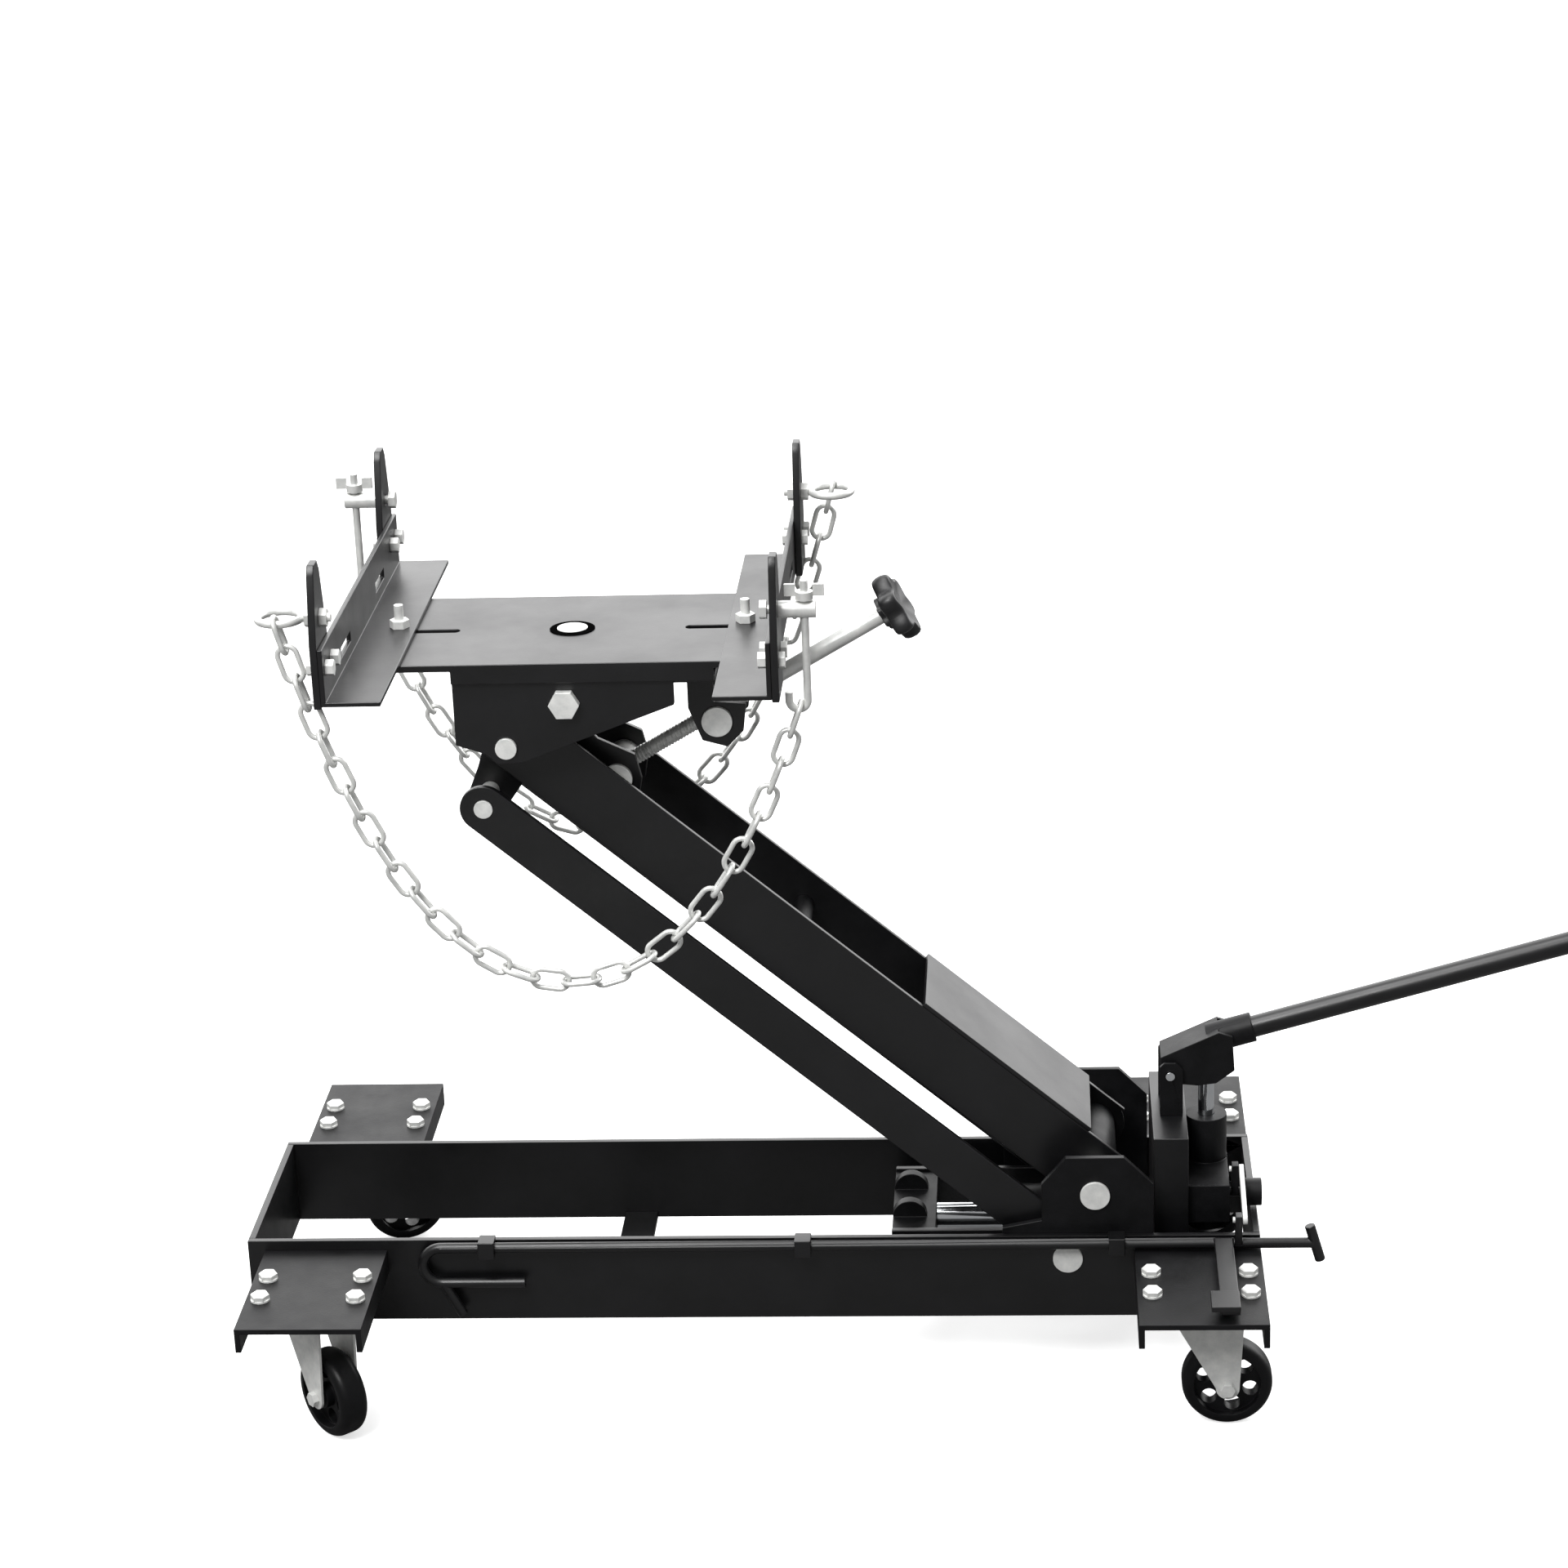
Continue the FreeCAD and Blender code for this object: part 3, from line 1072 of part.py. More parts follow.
def make_anchors():
    """Ring eyebolts on two opposite corners and hook rods on the other two."""
    rings = []
    hooks = []
    for side, across in corners():
        face, y, z = anchor_spot(side, across)
        inner_face = face - side * (post_wall + 9)
        if side * across > 0:
            ring = doc.addObject("Part::Torus", "ring")
            bind(ring, "Radius1", ring_radius)
            bind(ring, "Radius2", ring_wire)
            far_edge = face + side * 10
            move(ring, far_edge + side * (ring_radius - 1), y, z)
            ends = (inner_face, far_edge) if side > 0 else (far_edge, inner_face)
            shank = bar("X", anchor_radius, *ends, (y, z))
            nuts = [hexagon("X", 8, low, low + 6, (y, z)) for low in nut_places(face, side)]
            rings.append(fuse(ring, shank, *nuts))
        else:
            tip = face + side * (hook_offset + 9)
            ends = (inner_face, tip) if side > 0 else (tip, inner_face)
            carrier = bar("X", 7, *sorted_ends(face, tip, side), (y, z))
            shank = bar("X", anchor_radius, *ends, (y, z))
            nut = hexagon("X", 8, *sorted_ends(inner_face, inner_face + side * 6, side), (y, z))
            rod_x = face + side * hook_offset
            hole = bar("Z", hook_wire + bolt_clearance, z - 9, z + 9, (rod_x, y))
            hooks.append(cut(fuse(carrier, shank, nut), hole))
            hooks.append(hook_rod(rod_x, y, z, side))
    node("ring_bolts", whole(*rings))
    node("hook_bolts", whole(*hooks))


def nut_places(face, side):
    """Low ends of the two nuts that clamp a ring bolt on its post."""
    if side > 0:
        return face, face - post_wall - 6
    return face - 6, face + post_wall


def sorted_ends(first, second, side):
    return (first, second) if side > 0 else (second, first)


def hook_rod(x, y, z, side):
    """A vertical rod bent to a hook at its foot, with a wing nut on its carrier."""
    bend_z = z - hook_drop + hook_radius
    rod = bar("Z", hook_wire, bend_z, z + 24, (x, y))
    bend = doc.addObject("Part::Torus", "hook_bend")
    bind(bend, "Radius1", hook_radius)
    bind(bend, "Radius2", hook_wire)
    bend.Angle3 = 180
    bend.Placement = Placement(Vector(), Rotation(Vector(1, 0, 0), -90))
    move(bend, x - side * hook_radius, y, bend_z)
    tip_x = x - 2 * side * hook_radius
    tip = bar("Z", hook_wire, bend_z, bend_z + 7, (tip_x, y))
    nut = bar("Z", 7, z + 8, z + 15, (x, y))
    wings = block((x - 16, x + 16), (y - 1.5, y + 1.5), (z + 11, z + 21))
    gap = block((x - 7, x + 7), (y - 2, y + 2), (z + 15, z + 22))
    return fuse(rod, bend, tip, nut, cut(wings, gap))


# ---------------------------------------------------------------- chains
def chain_shape():
    """One rigid chain link along X: two half rings and two straight sides."""
    wire = number(chain_wire)
    half_width = number(chain_width) / 2 - wire
    straight = (number(chain_pitch) + number(chain_slack) + 2 * wire) / 2 - half_width
    pieces = []
    for side in (-1, 1):
        bend = Part.makeTorus(half_width, wire, Vector(side * straight, 0, 0), Vector(0, 0, side), -180, 180, 180)
        bend.rotate(Vector(side * straight, 0, 0), Vector(0, 0, 1), -90)
        pieces.append(bend)
        pieces.append(Part.makeCylinder(wire, 2 * straight, Vector(-straight, side * half_width, 0), Vector(1, 0, 0)))
    link = pieces[0]
    for piece in pieces[1:]:
        link = link.fuse(piece)
    return link.removeSplitter()


def catenary(start, end, length, first, pitch, count):
    """Link centres and directions along a chain of a given length hanging between two points."""
    flat = math.hypot(end.x - start.x, end.y - start.y)
    drop = end.z - start.z
    target = math.sqrt(length ** 2 - drop ** 2) / flat
    low, high = 1e-3, 20.0
    for _ in range(80):
        middle = (low + high) / 2
        if math.sinh(middle) / middle < target:
            low = middle
        else:
            high = middle
    scale = flat / (2 * low)
    centre = flat / 2 - scale * math.atanh(drop / length)
    begin = scale * math.sinh(-centre / scale)
    base = start.z - scale * math.cosh(-centre / scale)
    level = Vector(end.x - start.x, end.y - start.y, 0).normalize()
    points = []
    for index in range(count + 1):
        height = math.asinh((begin + first + pitch * index) / scale)
        along = centre + scale * height
        spot = Vector(start.x, start.y, base + scale * math.cosh(height)) + level * along
        points.append((spot, level + Vector(0, 0, math.sinh(height))))
    return points


def chain(side):
    """One chain from a ring bolt to the hook at the other end of the same edge."""
    ring_face, ring_y, ring_z = [number(value) for value in anchor_spot(side, side)]
    hook_face, hook_y, hook_z = [number(value) for value in anchor_spot(-side, side)]
    ring_x = ring_face + side * (10 + number(ring_radius) - 1)
    start = Vector(ring_x, ring_y + side * number(ring_radius), ring_z)
    hook_x = hook_face - side * (number(hook_offset) - number(hook_radius))
    end = Vector(hook_x, hook_y, hook_z - number(hook_drop))
    pitch = number(chain_pitch)
    eye = (pitch + number(chain_slack)) / 2 - 1.0
    first = eye - number(ring_wire)
    last = eye - number(hook_wire) - 0.3
    count = round((number(chain_length) - first - last) / pitch / 2) * 2
    points = catenary(start, end, first + pitch * count + last, first, pitch, count)
    link = chain_shape()
    links = []
    for index, (spot, along) in enumerate(points):
        copy = link.copy()
        turn = Rotation(Vector(1, 0, 0), along) * Rotation(Vector(1, 0, 0), 90 * (index % 2))
        copy.Placement = Placement(spot, turn)
        links.append(copy)
    return links


def make_chains():
    """Two load chains, each link a solid of its own."""
    shaped("chains", Part.makeCompound(chain(-1) + chain(1)))


# ---------------------------------------------------------------- casters
def make_casters():
    """Four swivel forks with their axles, and four wheels."""
    leg_in = wheel_width / 2 + fork_gap
    leg_out = leg_in + fork_wall
    race_low = fork_top - raceway_height
    crown_low = race_low - 3
    leg = [(caster_trail - fork_foot, wheel_radius), (caster_trail + fork_foot, wheel_radius),
           (caster_trail + fork_foot + 4, crown_low), (-fork_leg_top, crown_low)]
    for name, x, y, yaw in caster_centres():
        def cheek(low, high):
            return plate("XZ", low, high, leg)
        cheeks = mirrored_y(cheek, leg_in, leg_out)
        feet = [bar("Y", fork_foot, low, high, (caster_trail, wheel_radius))
                for low, high in ((-leg_out, -leg_in), (leg_in, leg_out))]
        crown = block((-fork_leg_top, caster_trail + fork_foot + 4), (-leg_out, leg_out), (crown_low, race_low))
        race = bar("Z", raceway_radius, race_low, fork_top, (0, 0))
        kingpin = bar("Z", kingpin_radius, fork_top, mount_top - 0.5, (0, 0))
        bores = bar("Y", axle_radius + bolt_clearance, -leg_out - 1, leg_out + 1, (caster_trail, wheel_radius))
        fork = cut(fuse(*cheeks, *feet, crown, race, kingpin), bores)
        axle = fuse(bar("Y", axle_radius, -leg_out - 3, leg_out + 3, (caster_trail, wheel_radius)),
                    hexagon("Y", 6.5, -leg_out - 5, -leg_out, (caster_trail, wheel_radius)),
                    hexagon("Y", 6.5, leg_out, leg_out + 5, (caster_trail, wheel_radius)))
        holder = whole(fork, axle)
        stand_caster(holder, x, y, yaw, f"fork_{name}")
        tread = Part.makeCylinder(number(wheel_radius), number(wheel_width))
        rims = [edge for edge in tread.Edges if edge.Curve.TypeId == "Part::GeomCircle"]
        tread = tread.makeFillet(number(wheel_round), rims)
        groove = Part.makeCylinder(number(wheel_radius) * 0.74, 7.5)
        inside = Part.makeCylinder(11, 7.5)
        ring = groove.cut(inside)
        back = ring.copy()
        back.translate(Vector(0, 0, number(wheel_width) - 7.5))
        tools = [Part.makeCylinder(number(axle_radius) + number(running_gap), number(wheel_width)), ring, back]
        for index in range(6):
            turn = math.radians(60 * index + 18)
            spot = Vector(number(wheel_hole_circle) * math.cos(turn), number(wheel_hole_circle) * math.sin(turn), 0)
            tools.append(Part.makeCylinder(number(wheel_hole_radius), number(wheel_width), spot))
        wheel = tread.cut(tools)
        wheel.Placement = Placement(Vector(number(caster_trail), -number(wheel_width) / 2, number(wheel_radius)),
                                    Rotation(Vector(1, 0, 0), -90))
        tyre = doc.addObject("Part::Feature", "tyre")
        tyre.Shape = wheel
        stand_caster(whole(tyre), x, y, yaw, f"wheel_{name}")


def stand_caster(holder, x, y, yaw, label):
    """Turn a caster piece to its rest yaw about the swivel axis."""
    holder.Placement = Placement(Vector(), Rotation(Vector(0, 0, 1), yaw))
    bind(holder, "Placement.Base.y", y)
    node(label, holder, x)


# ---------------------------------------------------------------- build and write
def build():
    """Make every sub-part."""
    make_rails()
    make_cross_members()
    make_caster_plates()
    make_pivot_brackets()
    make_chassis_pins()
    make_ram_cylinder()
    make_ram()
    make_pump()
    make_plunger()
    make_lever()
    make_handle()
    make_release()
    make_arm()
    make_links()
    make_head()
    make_tilt_screw()
    make_cradle()
    make_table()
    make_table_fittings()
    make_anchors()
    make_chains()
    make_casters()


def check():
    """Stop if any object failed or any sub-part is empty or invalid."""
    for obj in doc.Objects:
        if "Invalid" in obj.State or "Error" in obj.State:
            raise RuntimeError(f"{obj.Name} ({obj.Label}) failed: {obj.State}")
    for label, obj in NODES.items():
        if obj.Shape.isNull() or not obj.Shape.isValid() or not obj.Shape.Solids:
            raise RuntimeError(f"{label} has no valid solid")


def write():
    """Write each sub-part to its own file."""
    os.makedirs("parts", exist_ok=True)
    for label, obj in NODES.items():
        obj.Shape.exportStep(f"parts/{label}.step")


build()
doc.recompute()
check()
write()
print(len(NODES), "sub-parts,", sum(len(obj.Shape.Solids) for obj in NODES.values()), "solids")
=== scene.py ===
# %% [markdown]
# # A low floor jack with a tilting table, drawn over its own frame
# The jack's plates, pins and castings already have their true size and place. Here
# they get edges, finishes, threads, chains and light, so that they look made.

# %% Load the frame
import json
import math
import bmesh
import bpy
from mathutils import Matrix, Vector


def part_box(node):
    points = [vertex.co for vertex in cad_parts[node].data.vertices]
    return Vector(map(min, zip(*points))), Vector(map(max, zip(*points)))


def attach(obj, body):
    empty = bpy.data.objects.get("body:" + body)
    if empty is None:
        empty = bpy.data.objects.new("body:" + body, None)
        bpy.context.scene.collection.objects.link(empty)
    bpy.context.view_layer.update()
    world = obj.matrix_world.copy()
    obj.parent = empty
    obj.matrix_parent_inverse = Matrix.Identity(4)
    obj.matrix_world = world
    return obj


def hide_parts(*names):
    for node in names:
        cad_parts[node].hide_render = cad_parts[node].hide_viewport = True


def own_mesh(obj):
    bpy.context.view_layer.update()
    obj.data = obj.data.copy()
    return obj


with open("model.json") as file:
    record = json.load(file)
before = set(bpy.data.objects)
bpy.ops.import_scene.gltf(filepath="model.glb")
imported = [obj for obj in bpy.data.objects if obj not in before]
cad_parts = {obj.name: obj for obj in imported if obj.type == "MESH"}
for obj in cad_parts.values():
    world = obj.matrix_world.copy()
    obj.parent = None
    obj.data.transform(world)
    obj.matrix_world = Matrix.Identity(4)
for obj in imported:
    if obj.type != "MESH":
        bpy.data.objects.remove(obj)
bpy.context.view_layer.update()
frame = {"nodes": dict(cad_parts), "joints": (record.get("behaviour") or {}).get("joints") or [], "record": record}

MM = 0.001
nodes = frame["nodes"]
bodies = frame["record"]["behaviour"]["bodies"]
body_of_node = {node: body for body, names in bodies.items() for node in names}
joints = {joint["name"]: joint for joint in frame["joints"]}
rails_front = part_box("rail_near")[0][0]
print("nodes", len(nodes), "rails start at", round(rails_front, 3))

# %% [markdown]
# ## The view
# A long lens a little above and in front of the near side keeps the rails almost
# parallel, as in a catalogue. The camera's three axes come from its turn, its
# downward tilt and a slight roll.

# %% Camera
TURN, TILT, ROLL = 0.0722169545, 0.354249639, -0.0396690025
LENS = 87.465409125
CAMERA_PLACE = Vector((rails_front + 0.6990755, -3.0474877, 1.6489874))

level_right = Vector((math.cos(TURN), math.sin(TURN), 0))
level_ahead = Vector((-math.sin(TURN), math.cos(TURN), 0))
ahead = level_ahead * math.cos(TILT) - Vector((0, 0, math.sin(TILT)))
upward = Vector((0, 0, math.cos(TILT))) + level_ahead * math.sin(TILT)
right = level_right * math.cos(ROLL) + upward * math.sin(ROLL)
top = upward * math.cos(ROLL) - level_right * math.sin(ROLL)
camera = bpy.data.objects.new("camera", bpy.data.cameras.new("camera"))
camera.data.sensor_width = 36
camera.data.lens = LENS
camera.data.clip_end = 100
facing = Matrix((right, top, -ahead)).transposed().to_4x4()
camera.matrix_world = Matrix.Translation(CAMERA_PLACE) @ facing
bpy.context.collection.objects.link(camera)
bpy.context.scene.camera = camera
print("lens", round(camera.data.lens, 2), "mm")

# %% [markdown]
# ## Colours and node wiring
# Paint makers give colours as sRGB hex, and the shader works in linear light, so one
# function converts. Another adds any shader node with its settings and its wires.


# %% Colour and wiring helpers
def linear(code):
    """A hex sRGB colour as linear RGBA."""
    parts = [int(code[i:i + 2], 16) / 255 for i in (1, 3, 5)]
    return [p / 12.92 if p <= 0.04045 else ((p + 0.055) / 1.055) ** 2.4 for p in parts] + [1]


def add(tree, kind, wires=None, values=None, **settings):
    """Add one node, set its fields and unlinked sockets, and wire its inputs."""
    item = tree.nodes.new(kind)
    for key, value in settings.items():
        setattr(item, key, value)
    for key, value in (values or {}).items():
        item.inputs[key].default_value = value
    for key, socket in (wires or {}).items():
        tree.links.new(socket, item.inputs[key])
    return item


print("white is", linear("#FFFFFF")[0])

# %% [markdown]
# ## Finishes
# Every finish here is a base shader whose roughness, colour and bump vary as the real
# surface does. The pattern sizes are real ones: droplets of spray paint a few
# millimetres apart, zinc spangle, turning marks, and moulded grain.


# %% One builder for all the finishes
def finish(name, dark, pale, patch_mm, rough, grain_mm, grain_depth,
           metallic=0.0, stretch=(1, 1, 1), **fixed):
    """A finish: two mixed colours, roughness from low to high, and a bump of a depth in mm."""
    material = bpy.data.materials.new(name)
    material.use_nodes = True
    tree = material.node_tree
    tree.nodes.clear()
    place = add(tree, "ShaderNodeTexCoord").outputs["Object"]
    spread = add(tree, "ShaderNodeMapping", {"Vector": place}, {"Scale": stretch}).outputs["Vector"]
    patches = add(tree, "ShaderNodeTexNoise", {"Vector": place},
                  {"Scale": 1000 / patch_mm, "Detail": 5, "Roughness": 0.62}).outputs["Fac"]
    grain = add(tree, "ShaderNodeTexNoise", {"Vector": spread},
                {"Scale": 1000 / grain_mm, "Detail": 2, "Roughness": 0.5}).outputs["Fac"]
    shade = add(tree, "ShaderNodeValToRGB", {"Fac": patches})
    shade.color_ramp.elements[0].position = 0.35
    shade.color_ramp.elements[0].color = linear(dark)
    shade.color_ramp.elements[1].position = 0.75
    shade.color_ramp.elements[1].color = linear(pale)
    gloss = add(tree, "ShaderNodeMapRange", {"Value": patches},
                {"From Min": 0.3, "From Max": 0.7, "To Min": rough[0], "To Max": rough[1]}).outputs["Result"]
    bump = add(tree, "ShaderNodeBump", {"Height": grain},
               {"Strength": 0.6, "Distance": grain_depth * MM}).outputs["Normal"]
    shader = add(tree, "ShaderNodeBsdfPrincipled",
                 {"Base Color": shade.outputs["Color"], "Roughness": gloss, "Normal": bump},
                 {"Metallic": metallic, **fixed})
    add(tree, "ShaderNodeOutputMaterial", {"Surface": shader.outputs["BSDF"]})
    return material


# %% The jack's own finishes
# Black alkyd enamel, sprayed: deep and glossy, with the slight orange peel of spray.
black_enamel = finish("black_enamel", "#070708", "#101012", 70, (0.3, 0.4), 2.5, 0.05,
                      **{"Specular IOR Level": 0.55})
# The same enamel on cast and rough-sawn pieces: a coarser skin and less gloss.
cast_enamel = finish("cast_iron_enamel", "#09090A", "#141416", 30, (0.38, 0.52), 1.6, 0.12,
                      **{"Specular IOR Level": 0.22})
# Bright zinc plate on pressings and bolts: pale, soft-edged reflections with a faint spangle.
zinc_plate = finish("zinc_plate", "#D4D5D3", "#ECECE9", 9, (0.36, 0.52), 0.9, 0.03, metallic=0.25)
# Zinc on bar stock, where drawing leaves long fine lines.
drawn_zinc = finish("drawn_zinc", "#D0D1CF", "#E9E9E6", 14, (0.28, 0.42), 1.2, 0.04, metallic=0.4,
                    stretch=(0.08, 1, 1))
# Hard chrome, ground and polished: almost a mirror, with hair-fine turning marks.
hard_chrome = finish("hard_chrome", "#D3D6D9", "#E6E8EA", 40, (0.06, 0.13), 0.8, 0.008, metallic=1.0)
# Glass-filled nylon, moulded: near black, with a fine spark-eroded grain.
moulded_nylon = finish("moulded_nylon", "#121213", "#1E1E20", 25, (0.4, 0.52), 0.7, 0.06)
# The clearance round the table's bolt is painted shade: a flat black ring that gives back no light stands in for
# the shadow in the recess there.
painted_gap_shade = finish("painted_gap_shade", "#050505", "#090909", 20, (0.8, 0.9), 1.0, 0.02,
                     **{"Specular IOR Level": 0.0})
# Soft vinyl grip: dull and slightly greasy.
vinyl_grip = finish("vinyl_grip", "#151515", "#202021", 20, (0.5, 0.66), 1.0, 0.05)
print("finishes", len(bpy.data.materials))

# %% [markdown]
# ## Edges
# A laser-cut plate never has a perfectly sharp corner, and it is the small bright
# line along each edge that makes it read as steel. So each piece gets a copy whose
# triangles are merged back to whole faces and whose corners are rounded by a Bevel.


# %% Rounded copies of the frame's pieces
SAME_SPOT = 1e-6
FLAT_ANGLE, CORNER_ANGLE, CREASE_ANGLE = math.radians(0.5), math.radians(40), math.radians(50)


def settle(obj):
    """Apply an object's modifiers by turning the evaluated result into its mesh."""
    graph = bpy.context.evaluated_depsgraph_get()
    mesh = bpy.data.meshes.new_from_object(obj.evaluated_get(graph))
    obj.modifiers.clear()
    obj.data = mesh
    return obj


def stand(name, mesh, body, slot, *replaced):
    """Put a finished mesh in the scene, riding on its body in place of the frame's nodes."""
    obj = bpy.data.objects.new(name, mesh)
    bpy.context.collection.objects.link(obj)
    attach(obj, body)
    if replaced:
        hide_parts(*replaced)
    return obj


def rounded_copy(node, material, width):
    """A merged copy of a node with rounded edges and flat-looking flat faces, in its place."""
    mesh = nodes[node].data.copy()
    grid = bmesh.new()
    grid.from_mesh(mesh)
    bmesh.ops.remove_doubles(grid, verts=grid.verts, dist=SAME_SPOT)
    bmesh.ops.dissolve_limit(grid, angle_limit=FLAT_ANGLE, verts=grid.verts, edges=grid.edges)
    grid.to_mesh(mesh)
    grid.free()
    mesh.materials.clear()
    mesh.materials.append(material)
    obj = bpy.data.objects.new(f"{node}_finished", mesh)
    bpy.context.collection.objects.link(obj)
    bevel = obj.modifiers.new("edges", "BEVEL")
    bevel.width = width * MM
    bevel.segments = 2
    bevel.limit_method = "ANGLE"
    bevel.angle_limit = CORNER_ANGLE
    bevel.use_clamp_overlap = False
    settle(obj)
    obj.data.polygons.foreach_set("use_smooth", [True] * len(obj.data.polygons))
    obj.data.set_sharp_from_angle(angle=CREASE_ANGLE)
    weighted = obj.modifiers.new("even shading", "WEIGHTED_NORMAL")
    weighted.mode = "FACE_AREA"
    weighted.weight = 100
    weighted.keep_sharp = True
    settle(obj)
    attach(obj, body_of_node[node])
    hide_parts(node)
    return obj


# %% Which piece has which finish
FINISHES = [
    (black_enamel, "black_paint", 0.8, """
     rail_near rail_far cross_members arm_plate_near arm_plate_far arm_cover level_links
     head_plates cradle_plates cradle_deck trunnion_lugs table_plate angle_irons posts
     yoke_plates reservoir release_rod rod_clips"""),
    (cast_enamel, "black_paint", 0.6, """
     caster_plates_front caster_plates_rear pivot_brackets pump_bracket pump_body
     ram_cylinder ram_gland crosshead lever_socket arm_tubes head_tubes release_valve"""),
    (zinc_plate, "zinc", 0.35, """
     caster_top_plates table_bolts link_upper_pin release_link lower_trunnion upper_trunnion
     cradle_pins fork_front_near fork_front_far fork_rear_near fork_rear_far"""),
    (zinc_plate, "chrome", 0.35, "chassis_pins head_pin horn_pins"),
    (drawn_zinc, "zinc", 0.3, "ring_bolts hook_bolts"),
    (hard_chrome, "chrome", 0.3, "ram_piston pump_plunger lever_pivot_pin"),
    (cast_enamel, "wheel_iron", 0.4, "wheel_front_near wheel_front_far wheel_rear_near wheel_rear_far"),
    (black_enamel, "black_paint", 0.3, "handle_tube"),
]
for material, slot_name, width, names in FINISHES:
    for node in names.split():
        rounded_copy(node, material, width)
print("rounded", sum(len(row[3].split()) for row in FINISHES), "pieces")

# %% [markdown]
# ## Geometry Nodes for what repeats
# Chain links, bolts and a screw's thread all follow a rule. Each gets its own small
# tree with named inputs, which is evaluated once and then kept as a plain mesh.


# %% Helpers for node trees that make geometry
def new_tree(name, **sizes):
    """A geometry tree with a geometry input and named lengths in metres."""
    tree = bpy.data.node_groups.new(name, "GeometryNodeTree")
    tree.interface.new_socket("Geometry", in_out="INPUT", socket_type="NodeSocketGeometry")
    for key in sizes:
        tree.interface.new_socket(key, in_out="INPUT", socket_type="NodeSocketFloat")
    tree.interface.new_socket("Geometry", in_out="OUTPUT", socket_type="NodeSocketGeometry")
    return tree, add(tree, "NodeGroupInput")


def close_tree(tree, geometry, material):
    """End a tree in real faces with a material."""
    real = add(tree, "GeometryNodeRealizeInstances", {"Geometry": geometry})
    smooth = add(tree, "GeometryNodeSetShadeSmooth", {"Geometry": real.outputs[0]})
    painted = add(tree, "GeometryNodeSetMaterial", {"Geometry": smooth.outputs[0]}, {"Material": material})
    add(tree, "NodeGroupOutput", {0: painted.outputs[0]})


def grow(name, data, tree, body, slot, sizes, *replaced, sharp=30):
    """Run a tree on some data and keep the result as a piece."""
    obj = bpy.data.objects.new(name, data)
    bpy.context.collection.objects.link(obj)
    modifier = obj.modifiers.new("growth", "NODES")
    modifier.node_group = tree
    for item in tree.interface.items_tree:
        if item.item_type == "SOCKET" and item.in_out == "INPUT" and item.name in sizes:
            modifier[item.identifier] = sizes[item.name]
    graph = bpy.context.evaluated_depsgraph_get()
    mesh = bpy.data.meshes.new_from_object(obj.evaluated_get(graph))
    bpy.data.objects.remove(obj)
    mesh.set_sharp_from_angle(angle=math.radians(sharp))
    return stand(name, mesh, body, slot, *replaced)


def points_mesh(name, places):
    """Loose points as a mesh."""
    mesh = bpy.data.meshes.new(name)
    mesh.from_pydata([tuple(place) for place in places], [], [])
    return mesh


# %% [markdown]
# ### Load chains
# A welded chain hangs in a catenary, and each link sits a quarter turn from the next.
# The curve is worked out from the ring and the hook that hold it, and a node tree
# sets one rounded link on every pitch of it.

# %% Chain tree
CHAIN = {"Pitch": 25.4 * MM, "Wire": 2.2 * MM, "Width": 16.0 * MM, "Length": 30.6 * MM}
tree, given = new_tree("chain_links", **CHAIN)
profile = add(tree, "GeometryNodeCurvePrimitiveCircle", {"Radius": given.outputs["Wire"]}, {"Resolution": 10})
loop = add(tree, "GeometryNodeCurvePrimitiveQuadrilateral",
           {"Width": given.outputs["Length"], "Height": given.outputs["Width"]})
half = add(tree, "ShaderNodeMath", {0: given.outputs["Width"]}, {1: 0.499}, operation="MULTIPLY")
oval = add(tree, "GeometryNodeFilletCurve", {"Curve": loop.outputs[0], "Radius": half.outputs[0]},
           {"Count": 7}, mode="POLY")
link = add(tree, "GeometryNodeCurveToMesh", {"Curve": oval.outputs[0], "Profile Curve": profile.outputs[0]})
path = add(tree, "GeometryNodeCurveToPoints", {"Curve": given.outputs["Geometry"]}, mode="EVALUATED")
tangent = add(tree, "GeometryNodeInputTangent")
kept = add(tree, "GeometryNodeCaptureAttribute", {"Geometry": given.outputs["Geometry"]})
kept.capture_items.new("VECTOR", "Along")
tree.links.new(tangent.outputs[0], kept.inputs["Along"])
tree.links.new(kept.outputs["Geometry"], path.inputs["Curve"])
aligned = add(tree, "FunctionNodeAlignRotationToVector", {"Vector": kept.outputs["Along"]}, axis="X")
order = add(tree, "GeometryNodeInputIndex")
parity = add(tree, "ShaderNodeMath", {0: order.outputs[0]}, {1: 2.0}, operation="MODULO")
quarter = add(tree, "ShaderNodeMath", {0: parity.outputs[0]}, {1: math.pi / 2}, operation="MULTIPLY")
roll = add(tree, "FunctionNodeAxisAngleToRotation", {"Angle": quarter.outputs[0]}, {"Axis": (1, 0, 0)})
turned = add(tree, "FunctionNodeRotateRotation",
             {"Rotation": aligned.outputs[0], "Rotate By": roll.outputs[0]}, rotation_space="LOCAL")
chain_items = add(tree, "GeometryNodeInstanceOnPoints",
                  {"Points": path.outputs["Points"], "Instance": link.outputs[0],
                   "Rotation": turned.outputs[0]})
close_tree(tree, chain_items.outputs[0], drawn_zinc)
chain_tree = tree
print("chain tree", len(tree.nodes), "nodes")


